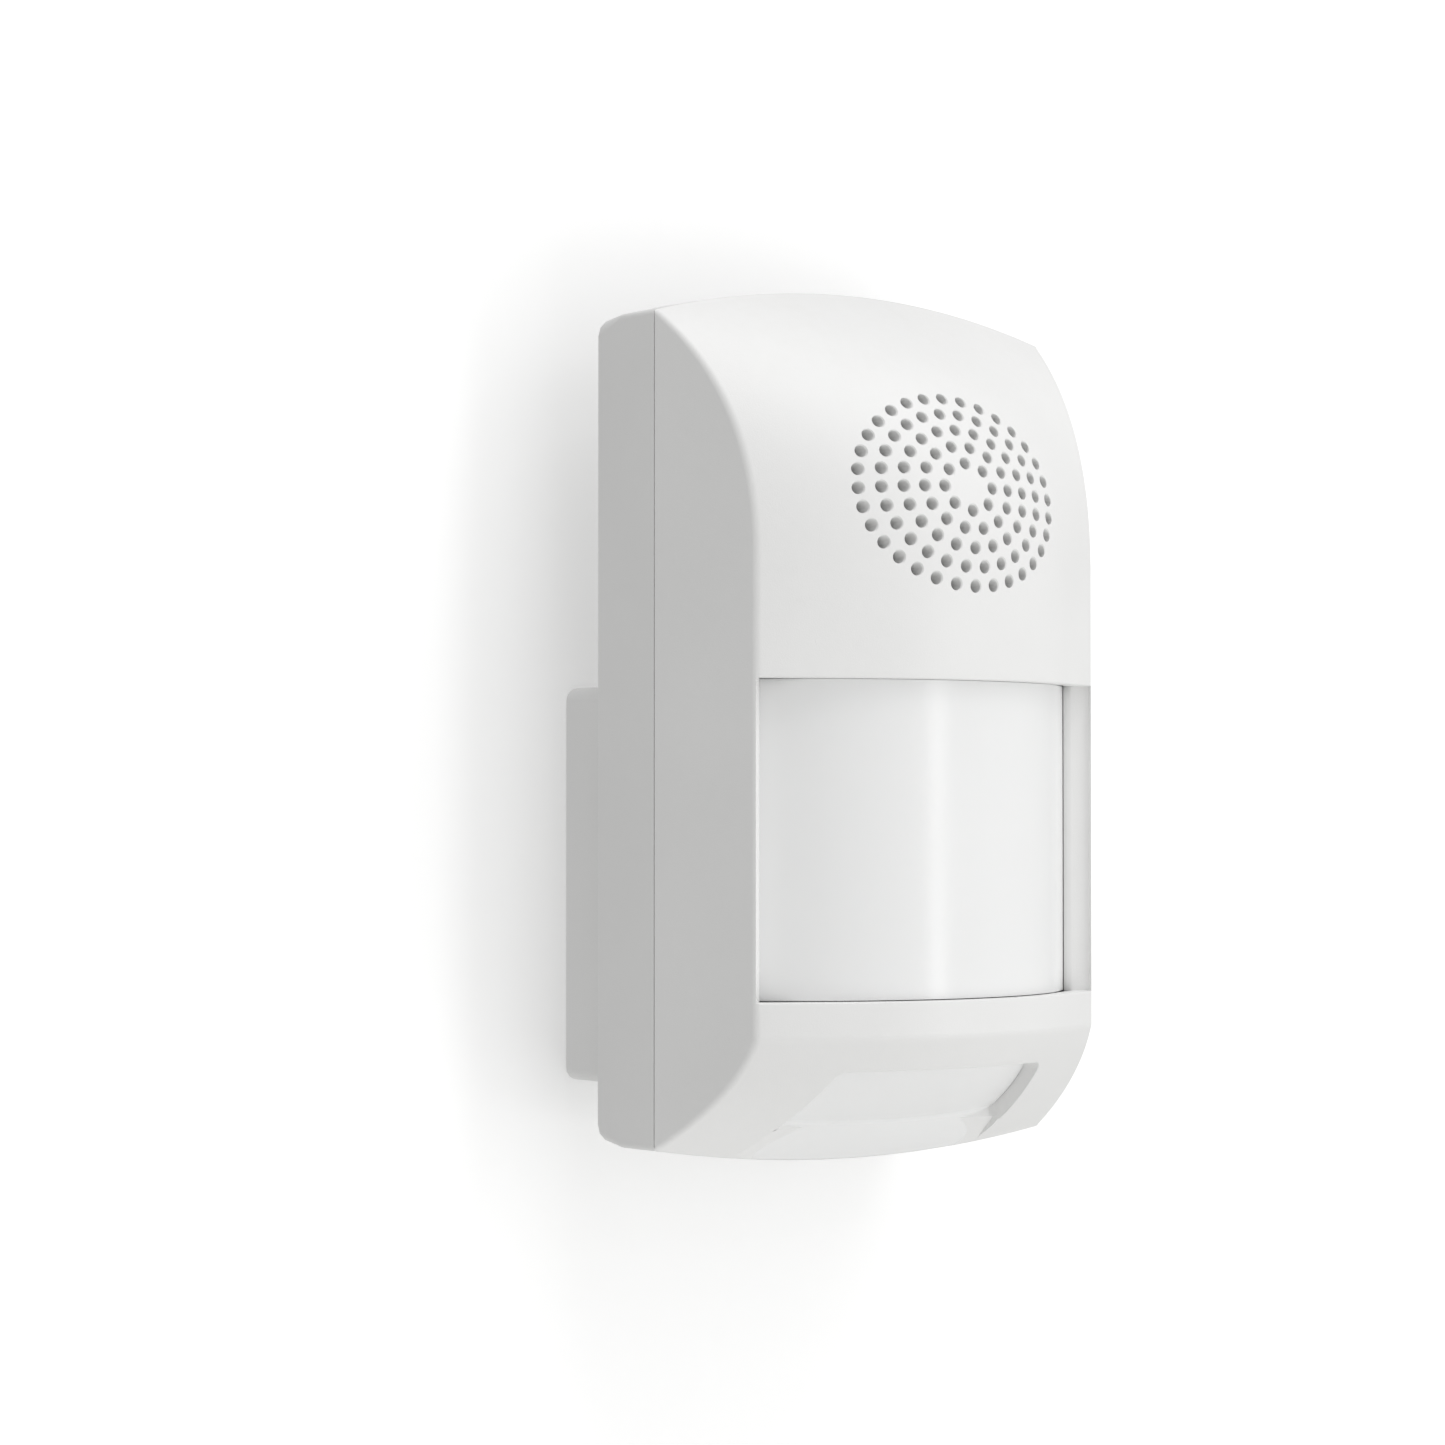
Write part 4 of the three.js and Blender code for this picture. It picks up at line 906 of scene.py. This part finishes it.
# %% Group: drawn finish
tree, given, result = new_group(
    "drawn_finish",
    [("Vector", "vector", None), ("Stretch", "vector", (60.0, 3000.0, 3000.0))],
    [("Lines", "value"), ("Scratch", "value")],
)
stretched = node(tree, "VectorMath", {0: given["Vector"], 1: given["Stretch"]}, operation="MULTIPLY")
lines = noise(tree, stretched.outputs[0], 1.0, 4.0, 0.6)
tree.links.new(lines, result["Lines"])
tree.links.new(remap(tree, lines, 0.66, 0.74), result["Scratch"])

# %% [markdown]
# ### Materials from the groups
# One function builds a finish: it reads Object coordinates, mixes two near colours by the clouds, paints the
# edges lighter, partly as wear and partly as a painted highlight, lays dust, and feeds the grain to a Bump
# node. Values that are the same all over, such as the coat, are set on the shader itself.

# %% Finish function
def start_material(name):
    """An empty material with a Principled shader, and its Object coordinates."""
    made = bpy.data.materials.new(name)
    made.use_nodes = True
    tree = made.node_tree
    shader = tree.nodes["Principled BSDF"]
    return made, tree, shader, node(tree, "TexCoord").outputs["Object"]


def add_group(tree, name, inputs):
    """A group placed in a material."""
    made = node(tree, "Group", node_tree=bpy.data.node_groups[name])
    for label, value in inputs.items():
        if isinstance(value, bpy.types.NodeSocket):
            tree.links.new(value, made.inputs[label])
        else:
            made.inputs[label].default_value = value
    return made.outputs


def bump(tree, shader, height, distance, strength=1.0):
    """A relief of a height in millimetres on a shader."""
    made = node(tree, "Bump", {"Height": height, "Distance": distance * MM, "Strength": strength})
    tree.links.new(made.outputs[0], shader.inputs["Normal"])


def rgba(value, shift=0.0):
    """A colour from three numbers, made a little lighter or darker."""
    return tuple(min(max(c + shift, 0), 1) for c in value) + (1.0,)


DUST, TARNISH = (0.62, 0.6, 0.56), (0.42, 0.37, 0.3)


def moulded(name, colour, rough, grain, per_metre, spread, edge_sheen_wear_and_dust):
    """A moulded plastic or rubber finish; grain is its relief in millimetres, spread that of its colour."""
    made, tree, shader, where = start_material(name)
    grains = add_group(tree, "moulded_grain", {"Vector": where, "Grain per metre": per_metre})
    sheen_wear_and_dust = add_group(tree, "edges_and_dust", {"Vector": where, "Amount": edge_sheen_wear_and_dust})
    base = mix_colour(tree, grains["Cloud"], rgba(colour, -spread), rgba(colour, spread))
    base = mix_colour(tree, maths(tree, "MULTIPLY", grains["Speck"], 0.25), base, rgba(colour, -3 * spread))
    # Edges painted lighter: partly wear, partly a painted highlight along each edge.
    base = mix_colour(tree, sheen_wear_and_dust["Edge"], base, rgba(colour, 2.5 * spread))
    base = mix_colour(tree, maths(tree, "MULTIPLY", sheen_wear_and_dust["Dust"], 0.22), base, rgba(DUST))
    tree.links.new(base, shader.inputs["Base Color"])
    gloss = maths(tree, "MULTIPLY_ADD", grains["Cloud"], 0.07, rough - 0.035)
    gloss = maths(tree, "MULTIPLY_ADD", sheen_wear_and_dust["Edge"], -0.12, gloss)
    tree.links.new(maths(tree, "MULTIPLY_ADD", sheen_wear_and_dust["Dust"], 0.2, gloss), shader.inputs["Roughness"])
    bump(tree, shader, grains["Height"], grain)
    return made, tree, shader, where


def metal(name, colour, rough, stretch, relief=0.004):
    """A drawn or turned metal finish with scratches and a little tarnish."""
    made, tree, shader, where = start_material(name)
    drawn = add_group(tree, "drawn_finish", {"Vector": where, "Stretch": stretch})
    grains = add_group(tree, "moulded_grain", {"Vector": where, "Cloud per metre": 260.0})
    sheen_wear_and_dust = add_group(tree, "edges_and_dust", {"Vector": where, "Amount": 0.8})
    base = mix_colour(tree, grains["Cloud"], rgba(colour, -0.05), rgba(colour, 0.03))
    base = mix_colour(tree, maths(tree, "MULTIPLY", grains["Speck"], 0.35), base, rgba(TARNISH))
    # Edges painted lighter: partly wear, partly a painted highlight along each edge.
    base = mix_colour(tree, sheen_wear_and_dust["Edge"], base, rgba(colour, 0.12))
    tree.links.new(base, shader.inputs["Base Color"])
    gloss = maths(tree, "MULTIPLY_ADD", drawn["Lines"], 0.3, rough - 0.15)
    tree.links.new(maths(tree, "MULTIPLY_ADD", drawn["Scratch"], 0.15, gloss), shader.inputs["Roughness"])
    shader.inputs["Metallic"].default_value = 1.0
    bump(tree, shader, drawn["Lines"], relief)
    return made

# %% [markdown]
# ### Plastics, rubber and foam
# The cases are satin white plastic with a very fine grain. Black, cream and blue parts use the same
# function with their own colour, gloss and grain size; rubber and foam are rougher and coarser.

# %% Moulded finishes
MOULDED = {  # name, colour, roughness, relief, grain per metre, spread of the colour, amount of edge sheen, wear and dust
    "white_plastic": ("white_case_plastic", (0.845, 0.845, 0.84), 0.42, 0.014, 6200.0, 0.012, 0.45),
    "black_plastic": ("black_moulded", (0.022, 0.022, 0.024), 0.45, 0.012, 7000.0, 0.008, 0.8),
    "cream_plastic": ("cream_moulded", (0.74, 0.68, 0.55), 0.38, 0.01, 6500.0, 0.02, 0.6),
    "blue_plastic": ("blue_moulded", (0.02, 0.11, 0.48), 0.35, 0.01, 6500.0, 0.02, 0.6),
    "black_rubber": ("black_rubber", (0.028, 0.028, 0.03), 0.72, 0.03, 3200.0, 0.01, 0.5),
    "black_foam": ("black_foam", (0.035, 0.035, 0.038), 0.92, 0.12, 1500.0, 0.014, 0.4),
}
finish = {slot: moulded(*values)[0] for slot, values in MOULDED.items()}
case_shader = finish["white_plastic"].node_tree.nodes["Principled BSDF"]
case_shader.inputs["IOR"].default_value = 1.46
print("moulded finishes:", ", ".join(finish))

# %% [markdown]
# ### Milky lens plastic
# The lens is soft polyethylene: light goes a little way in, which takes the hardness off its shading, and
# the outside is smooth. On the inside are fine rings. They are arcs around several centres, and a mask on
# the normal keeps them off the outer face.

# %% Lens finish
RING_STEP, RING_RELIEF = 0.55 * MM, 0.05 * MM


def milky(name, centres, facing):
    """Milky lens plastic; its rings lie round the centres, on the face whose normal is along facing."""
    made, tree, shader, where = moulded(name, (0.88, 0.883, 0.882), 0.22, 0.003, 2600.0, 0.002, 0.1)
    normal = node(tree, "TexCoord").outputs["Normal"]
    inner = node(tree, "VectorMath", {0: normal, 1: facing}, operation="DOT_PRODUCT").outputs["Value"]
    ways = None
    for x, z in centres:
        away = node(tree, "VectorMath", {0: where, 1: (x * MM, 0, z * MM)}, operation="SUBTRACT").outputs[0]
        flat = node(tree, "VectorMath", {0: away, 1: (1.0, 0.0, 1.0)}, operation="MULTIPLY").outputs[0]
        length = node(tree, "VectorMath", {0: flat}, operation="LENGTH").outputs["Value"]
        ways = length if ways is None else maths(tree, "MINIMUM", ways, length)
    saw = maths(tree, "FRACT", maths(tree, "MULTIPLY", ways, 1 / RING_STEP))
    relief = maths(tree, "MULTIPLY", saw, remap(tree, inner, 0.1, 0.5))
    old = shader.inputs["Normal"].links[0].from_socket
    rings = node(tree, "Bump", {"Height": relief, "Distance": RING_RELIEF, "Normal": old})
    tree.links.new(rings.outputs[0], shader.inputs["Normal"])
    shader.inputs["Subsurface Weight"].default_value = 0.15
    shader.inputs["Subsurface Radius"].default_value = (1.0, 0.95, 0.9)
    shader.inputs["Subsurface Scale"].default_value = 0.7 * MM
    return made


MAIN_CENTRES = [(x, z) for z in (17.5, 4.5, -6.5) for x in (-18.0, -9.0, 0.0, 9.0, 18.0)]
LOW_CENTRES = [(x, -25.5) for x in (-9.0, 0.0, 9.0)]
finish["milky_lens"] = milky("milky_lens_plastic", MAIN_CENTRES, (0.0, 1.0, 0.0))
finish["milky_low_lens"] = milky("milky_low_lens_plastic", LOW_CENTRES, (0.0, 0.7, 0.7))
print("ring centres:", len(MAIN_CENTRES), "and", len(LOW_CENTRES))

# %% [markdown]
# ### Metals
# Screws and the sensor's can are bright zinc steel, the shield and contacts dull tin plate, the magnet
# nickel, and the coils drawn bronze wire. Only colour, gloss and the direction of the drawn lines differ.

# %% Metal finishes
TURNED, ROLLED = (900.0, 900.0, 900.0), (90.0, 2600.0, 2600.0)
finish["steel"] = metal("zinc_steel", (0.62, 0.63, 0.65), 0.32, TURNED)
finish["tinned_steel"] = metal("tin_plate", (0.55, 0.56, 0.57), 0.42, ROLLED)
finish["nickel"] = metal("nickel_plate", (0.6, 0.58, 0.54), 0.2, TURNED, 0.002)
finish["phosphor_bronze"] = metal("bronze_wire", (0.62, 0.34, 0.16), 0.3, TURNED, 0.002)
print("with metals:", len(finish))

# %% [markdown]
# ### The circuit board
# Under the green lacquer run copper tracks, which show as a lighter green relief, with small tinned pads
# and holes between them. Two brick patterns, one turned by 45 degrees, give the runs of the tracks, and a
# cell pattern gives the holes, which are painted near-black as painted shade inside them. The board's edge
# shows the bare glass fibre.

# %% Group: tracks and holes
def runs_of(tree, where, length, width):
    """Long bricks whose mortar is the run of a track; length and width in millimetres."""
    inputs = {"Vector": where, "Brick Width": length * MM, "Row Height": width * MM, "Scale": 1.0}
    inputs |= {"Mortar Size": 0.22 * MM, "Mortar Smooth": 0.4, "Bias": 0.0}
    return node(tree, "TexBrick", inputs).outputs["Fac"]


tree, given, result = new_group(
    "board_tracks",
    [("Vector", "vector", None)],
    [("Track", "value"), ("Pad", "value"), ("Hole", "value")],
)
flat = node(tree, "Mapping", {"Vector": given["Vector"], "Rotation": (math.pi / 2, 0, 0)}).outputs[0]
turned = node(tree, "Mapping", {"Vector": flat, "Rotation": (0, 0, math.pi / 4)}).outputs[0]
zone = node(tree, "TexVoronoi", {"Vector": flat, "Scale": 120.0}, distance="MANHATTAN").outputs["Color"]
steep_zone = maths(tree, "GREATER_THAN", zone, 0.55)
level, steep = runs_of(tree, flat, 6.1, 1.2), runs_of(tree, turned, 4.3, 1.4)
runs = node(tree, "Mix", {0: steep_zone, 2: level, 3: steep}).outputs[0]
filled = maths(tree, "GREATER_THAN", zone, 0.86)
dots = node(tree, "TexVoronoi", {"Vector": flat, "Scale": 330.0, "Randomness": 0.75})
tree.links.new(maths(tree, "MAXIMUM", runs, filled), result["Track"])
tree.links.new(remap(tree, dots.outputs["Distance"], 0.17, 0.14), result["Pad"])
tree.links.new(remap(tree, dots.outputs["Distance"], 0.075, 0.055), result["Hole"])

# %% Board finish
finish["board_green"], tree, shader, where = start_material("green_board_lacquer")
tracks = add_group(tree, "board_tracks", {"Vector": where})
grains = add_group(tree, "moulded_grain", {"Vector": where, "Cloud per metre": 60.0})
sheen_wear_and_dust = add_group(tree, "edges_and_dust", {"Vector": where, "Amount": 0.7})
front = node(tree, "SeparateXYZ", {0: node(tree, "TexCoord").outputs["Normal"]}).outputs[1]
face = maths(tree, "GREATER_THAN", maths(tree, "ABSOLUTE", front), 0.7)
lacquer = mix_colour(tree, grains["Cloud"], rgba((0.008, 0.075, 0.035)), rgba((0.012, 0.105, 0.05)))
lacquer = mix_colour(tree, tracks["Track"], lacquer, rgba((0.025, 0.2, 0.085)))
lacquer = mix_colour(tree, tracks["Pad"], lacquer, rgba((0.5, 0.5, 0.48)))
# Holes painted near-black: painted shade inside each hole.
lacquer = mix_colour(tree, tracks["Hole"], lacquer, rgba((0.01, 0.012, 0.01)))
fibre = mix_colour(tree, grains["Cloud"], rgba((0.32, 0.33, 0.17)), rgba((0.42, 0.41, 0.24)))
base = mix_colour(tree, face, fibre, lacquer)
base = mix_colour(tree, maths(tree, "MULTIPLY", sheen_wear_and_dust["Dust"], 0.2), base, rgba((0.5, 0.48, 0.45)))
tree.links.new(base, shader.inputs["Base Color"])
tree.links.new(maths(tree, "MULTIPLY_ADD", grains["Cloud"], 0.1, 0.24), shader.inputs["Roughness"])
raised = maths(tree, "SUBTRACT", maths(tree, "MAXIMUM", tracks["Track"], tracks["Pad"]), tracks["Hole"])
bump(tree, shader, raised, 0.035)

# %% [markdown]
# ### Speaker cloth and paper
# The dust cloth behind the holes is a plain black weave: two waves at right angles, one lifted where the
# other sinks. The sunk threads are painted darker and the raised ones lighter, as painted shade and painted
# highlight of the weave. The cone is pressed pulp: mottled, rough, and covered with short fibres.

# %% Cloth and paper
finish["black_fabric"], tree, shader, where = start_material("black_dust_cloth")
parts = node(tree, "SeparateXYZ", {0: where}).outputs
THREAD = math.pi / (0.32 * MM)
across = maths(tree, "SINE", maths(tree, "MULTIPLY", parts[0], THREAD))
along = maths(tree, "SINE", maths(tree, "MULTIPLY", parts[2], THREAD))
weave = maths(tree, "ABSOLUTE", maths(tree, "ADD", across, along))
grains = add_group(tree, "moulded_grain", {"Vector": where, "Cloud per metre": 200.0})
SHADED_SUNK_THREAD, LIT_RAISED_THREAD = rgba((0.012, 0.012, 0.013)), rgba((0.05, 0.05, 0.053))
# Sunk threads painted darker and raised threads lighter: painted shade and painted highlight of the weave.
cloth = mix_colour(tree, remap(tree, weave, 0.2, 1.8), SHADED_SUNK_THREAD, LIT_RAISED_THREAD)
cloth = mix_colour(tree, maths(tree, "MULTIPLY", grains["Cloud"], 0.4), cloth, rgba((0.06, 0.058, 0.055)))
tree.links.new(cloth, shader.inputs["Base Color"])
tree.links.new(remap(tree, weave, 0.0, 2.0, 0.95, 0.75), shader.inputs["Roughness"])
bump(tree, shader, weave, 0.05)

finish["grey_paper"], tree, shader, where = start_material("grey_pressed_paper")
fibres = noise(tree, where, 1400.0, 6.0, 0.75, 1.5)
mottle = remap(tree, noise(tree, where, 260.0, 3.0), 0.4, 0.7)
paper = mix_colour(tree, fibres, rgba((0.085, 0.088, 0.092)), rgba((0.2, 0.2, 0.2)))
paper = mix_colour(tree, mottle, paper, rgba((0.12, 0.118, 0.112)))
tree.links.new(paper, shader.inputs["Base Color"])
tree.links.new(remap(tree, fibres, 0.2, 0.8, 0.78, 0.95), shader.inputs["Roughness"])
bump(tree, shader, fibres, 0.06)
print("with board, cloth and paper:", len(finish))

# %% [markdown]
# ### Cell sleeves and capacitor sleeves
# The cells wear a shrunk plastic sleeve, dark with a copper band at the plus end, over a steel can whose
# bare ends show. The band's place follows the length of the cell, so it is a mask on X. The capacitors'
# black sleeves have a grey stripe down one side and a bare aluminium top.

# %% Sleeve finishes
def sleeve(name, colour, rough):
    """A glossy shrunk sleeve with a thin clear coat."""
    made, tree, shader, where = moulded(name, colour, rough, 0.006, 1800.0, 0.01, 0.9)
    shader.inputs["Coat Weight"].default_value = 0.5
    shader.inputs["Coat Roughness"].default_value = 0.12
    return made, tree, shader, where


def over(tree, shader, where, mask, colour, metallic=False):
    """Lay a plain coloured zone over a finish, keeping its clouds."""
    old = shader.inputs["Base Color"].links[0].from_socket
    grains = add_group(tree, "moulded_grain", {"Vector": where, "Cloud per metre": 300.0})
    zone = mix_colour(tree, grains["Cloud"], rgba(colour, -0.03), rgba(colour, 0.03))
    tree.links.new(mix_colour(tree, mask, old, zone), shader.inputs["Base Color"])
    if metallic:
        tree.links.new(mask, shader.inputs["Metallic"])


BAND_START, SLEEVE_END = 9.0, 20.9  # along a cell, from its middle
CELL_BLACK, COPPER, BARE_STEEL = (0.018, 0.02, 0.024), (0.56, 0.24, 0.085), (0.6, 0.6, 0.6)
for number, sign in ((1, -1.0), (2, 1.0)):
    finish[f"cell_{number}"], tree, shader, where = sleeve(f"cell_sleeve_{number}", CELL_BLACK, 0.3)
    x = maths(tree, "MULTIPLY", node(tree, "SeparateXYZ", {0: where}).outputs[0], sign)
    over(tree, shader, where, maths(tree, "GREATER_THAN", x, BAND_START * MM), COPPER)
    end = maths(tree, "GREATER_THAN", maths(tree, "ABSOLUTE", x), SLEEVE_END * MM)
    over(tree, shader, where, end, BARE_STEEL, metallic=True)

CAPACITOR_Z, STRIPE_SIDE, CAN_TOP = -2.9, 2.2, -23.3
finish["capacitor_sleeve"], tree, shader, where = sleeve("capacitor_sleeve", (0.02, 0.022, 0.03), 0.32)
parts = node(tree, "SeparateXYZ", {0: where}).outputs
stripe = maths(tree, "GREATER_THAN", maths(tree, "SUBTRACT", parts[2], CAPACITOR_Z * MM), STRIPE_SIDE * MM)
over(tree, shader, where, stripe, (0.3, 0.3, 0.31))
over(tree, shader, where, maths(tree, "LESS_THAN", parts[1], CAN_TOP * MM), (0.66, 0.66, 0.67), metallic=True)
print("with sleeves:", len(finish))

# %% [markdown]
# ### Glass of the sensor and the status light
# The sensor's window is a dark filter under a clear coat, and the light's body is clear green plastic. Both
# are glossy, with faint smears, and the light keeps a plain transmission so that it stays see-through.

# %% Glass finishes
GLASS = ("dark_filter_glass", (0.05, 0.018, 0.026), 0.08, 0.001, 900.0, 0.01, 0.4)
finish["dark_glass"], tree, shader, where = moulded(*GLASS)
shader.inputs["Coat Weight"].default_value = 1.0
LIGHT = ("green_light_body", (0.2, 0.62, 0.26), 0.16, 0.002, 900.0, 0.02, 0.4)
finish["light_green"], tree, shader, where = moulded(*LIGHT)
shader.inputs["Transmission Weight"].default_value = 0.55
shader.inputs["IOR"].default_value = 1.5

# %% [markdown]
# ### Dressing the pieces
# Each piece takes the finish that its node's material slot names, and the two cells take one each, because
# they lie the opposite way round. The resistors are black with tinned ends. A mask could tell the two
# apart, but the ends are faces of their own, so they are simply given a second material.

# %% Give every piece its finish
CELLS = {"battery_1": "cell_1", "battery_2": "cell_2"}


def dress(piece, slot, finish_name=None):
    """Give a piece one finish: the one called finish_name, or else the one its slot names."""
    piece.data.materials.clear()
    piece.data.materials.append(finish[finish_name or slot])


for name, piece in fine.items():
    slot = frame["nodes"][name].material_slots[0].material.name
    dress(piece, slot, CELLS.get(name))
dress(cover, "white_plastic")
dress(lens, "milky_lens")
dress(chin_lens, "milky_lens", "milky_low_lens")
for part in resistors:
    dress(part, "black_plastic")
    part.data.materials.append(finish["tinned_steel"])
    middle = sum((v.co for v in part.data.vertices), Vector()) / len(part.data.vertices)
    for polygon in part.data.polygons:
        polygon.material_index = 1 if (polygon.center - middle).length > 0.52 * MM else 0
print("finishes:", len(finish))

# %% [markdown]
# ## The room
# The sensor hangs on a white wall over a pale floor. The wall stands just behind the bracket; seen from
# behind it is clear, and it takes shadows without blocking the light that reaches the bracket's back.

# %% Wall and floor
ROOM_SIZE, WALL_BEHIND, FLOOR_BELOW, WALL_GLOW = 8.0, 0.0006, -0.35, 0.17


def surface(name, place, turn, colour, glow=0.0, one_sided=False):
    """A large plane of the room, with a faint plaster mottle and a little light of its own."""
    bpy.ops.object.select_all(action="DESELECT")
    bpy.ops.mesh.primitive_plane_add(size=ROOM_SIZE, location=place, rotation=turn)
    made = bpy.context.object
    made.name = name
    bpy.ops.object.transform_apply(location=True, rotation=True, scale=True)
    material, tree, shader, where = start_material(name + "_paint")
    tone = mix_colour(tree, noise(tree, where, 9.0, 5.0), rgba(colour, -0.004), rgba(colour, 0.004))
    tree.links.new(tone, shader.inputs["Base Color"])
    shader.inputs["Roughness"].default_value = 0.95
    shader.inputs["Specular IOR Level"].default_value = 0.1
    shader.inputs["Emission Color"].default_value = (1.0, 1.0, 1.0, 1.0)
    shader.inputs["Emission Strength"].default_value = glow
    if one_sided:
        clear = node(tree, "BsdfTransparent")
        back = node(tree, "NewGeometry").outputs["Backfacing"]
        both = node(tree, "MixShader", {0: back, 1: shader.outputs[0], 2: clear.outputs[0]})
        tree.links.new(both.outputs[0], tree.nodes["Material Output"].inputs["Surface"])
    made.data.materials.append(material)
    return made


UPRIGHT, LYING, WALL_PAINT, FLOOR_PAINT = (math.pi / 2, 0, 0), (0, 0, 0), (0.94, 0.94, 0.94), (0.8, 0.8, 0.79)
wall_plane = surface("wall_plane", (0, WALL_BEHIND, 1.0), UPRIGHT, WALL_PAINT, WALL_GLOW, one_sided=True)
wall_plane.visible_shadow = False
wall_plane.visible_diffuse = False
wall_plane.visible_glossy = False
floor_plane = surface("floor_plane", (0, 0, FLOOR_BELOW), LYING, FLOOR_PAINT)
floor_plane.visible_shadow = False
print("room:", wall_plane.name, "and", floor_plane.name)

# %% [markdown]
# ## Lights
# A pale even sky fills the shadows. Large soft panels overhead, high and low bring out the curve over the
# top and keep the chin clear, and a narrow upright one draws a soft streak down the lens.

# %% Sky and panels
SKY = 0.51
PANELS = {  # degrees right of the front, degrees up, distance, width and height in metres, watts
    "top_panel": (15, 76, 1.8, 1.4, 1.4, 11.5),
    "high_panel": (24, 50, 1.8, 1.6, 1.6, 8.0),
    "low_panel": (20, -35, 1.8, 1.6, 1.2, 7.5),
    "strip_panel": (25, 4, 2.0, 0.26, 1.7, 4.4),
}
world = bpy.data.worlds.new("pale_sky")
bpy.context.scene.world = world
world.use_nodes = True
world.node_tree.nodes["Background"].inputs[0].default_value = (1.0, 1.0, 1.0, 1.0)
world.node_tree.nodes["Background"].inputs[1].default_value = SKY


def panel(name, azimuth, height, distance, width, tall, power):
    """A soft light panel that faces the sensor; azimuth is measured from the front to the right."""
    data = bpy.data.lights.new(name, "AREA")
    data.shape, data.size, data.size_y, data.energy = "RECTANGLE", width, tall, power
    made = bpy.data.objects.new(name, data)
    bpy.context.scene.collection.objects.link(made)
    turn, lift = math.radians(azimuth), math.radians(height)
    away = Vector((math.sin(turn) * math.cos(lift), -math.cos(turn) * math.cos(lift), math.sin(lift)))
    made.location = Vector((0, -0.02, 0.02)) + away * distance
    made.rotation_euler = away.to_track_quat("Z", "Y").to_euler()
    return made


for name, values in PANELS.items():
    panel(name, *values)
print("panels:", ", ".join(PANELS))

# %% [markdown]
# ## Camera
# The camera stands to the left of the sensor, at its height, and looks across it at 38 degrees through a
# long lens, which keeps the upright edges nearly parallel.

# %% Camera
lens_data = bpy.data.cameras.new("camera")
lens_data.lens, lens_data.sensor_width = 97.76, 36.0
lens_data.clip_start, lens_data.clip_end = 0.02, 30.0
camera = bpy.data.objects.new("camera", lens_data)
bpy.context.scene.collection.objects.link(camera)
camera.location = (-0.31313, -0.39584, 0.0089)
camera.rotation_euler = (math.radians(91.307), 0, math.radians(-38))
bpy.context.scene.camera = camera
bpy.context.scene.view_settings.view_transform = "Standard"
bpy.context.scene.view_settings.look = "None"
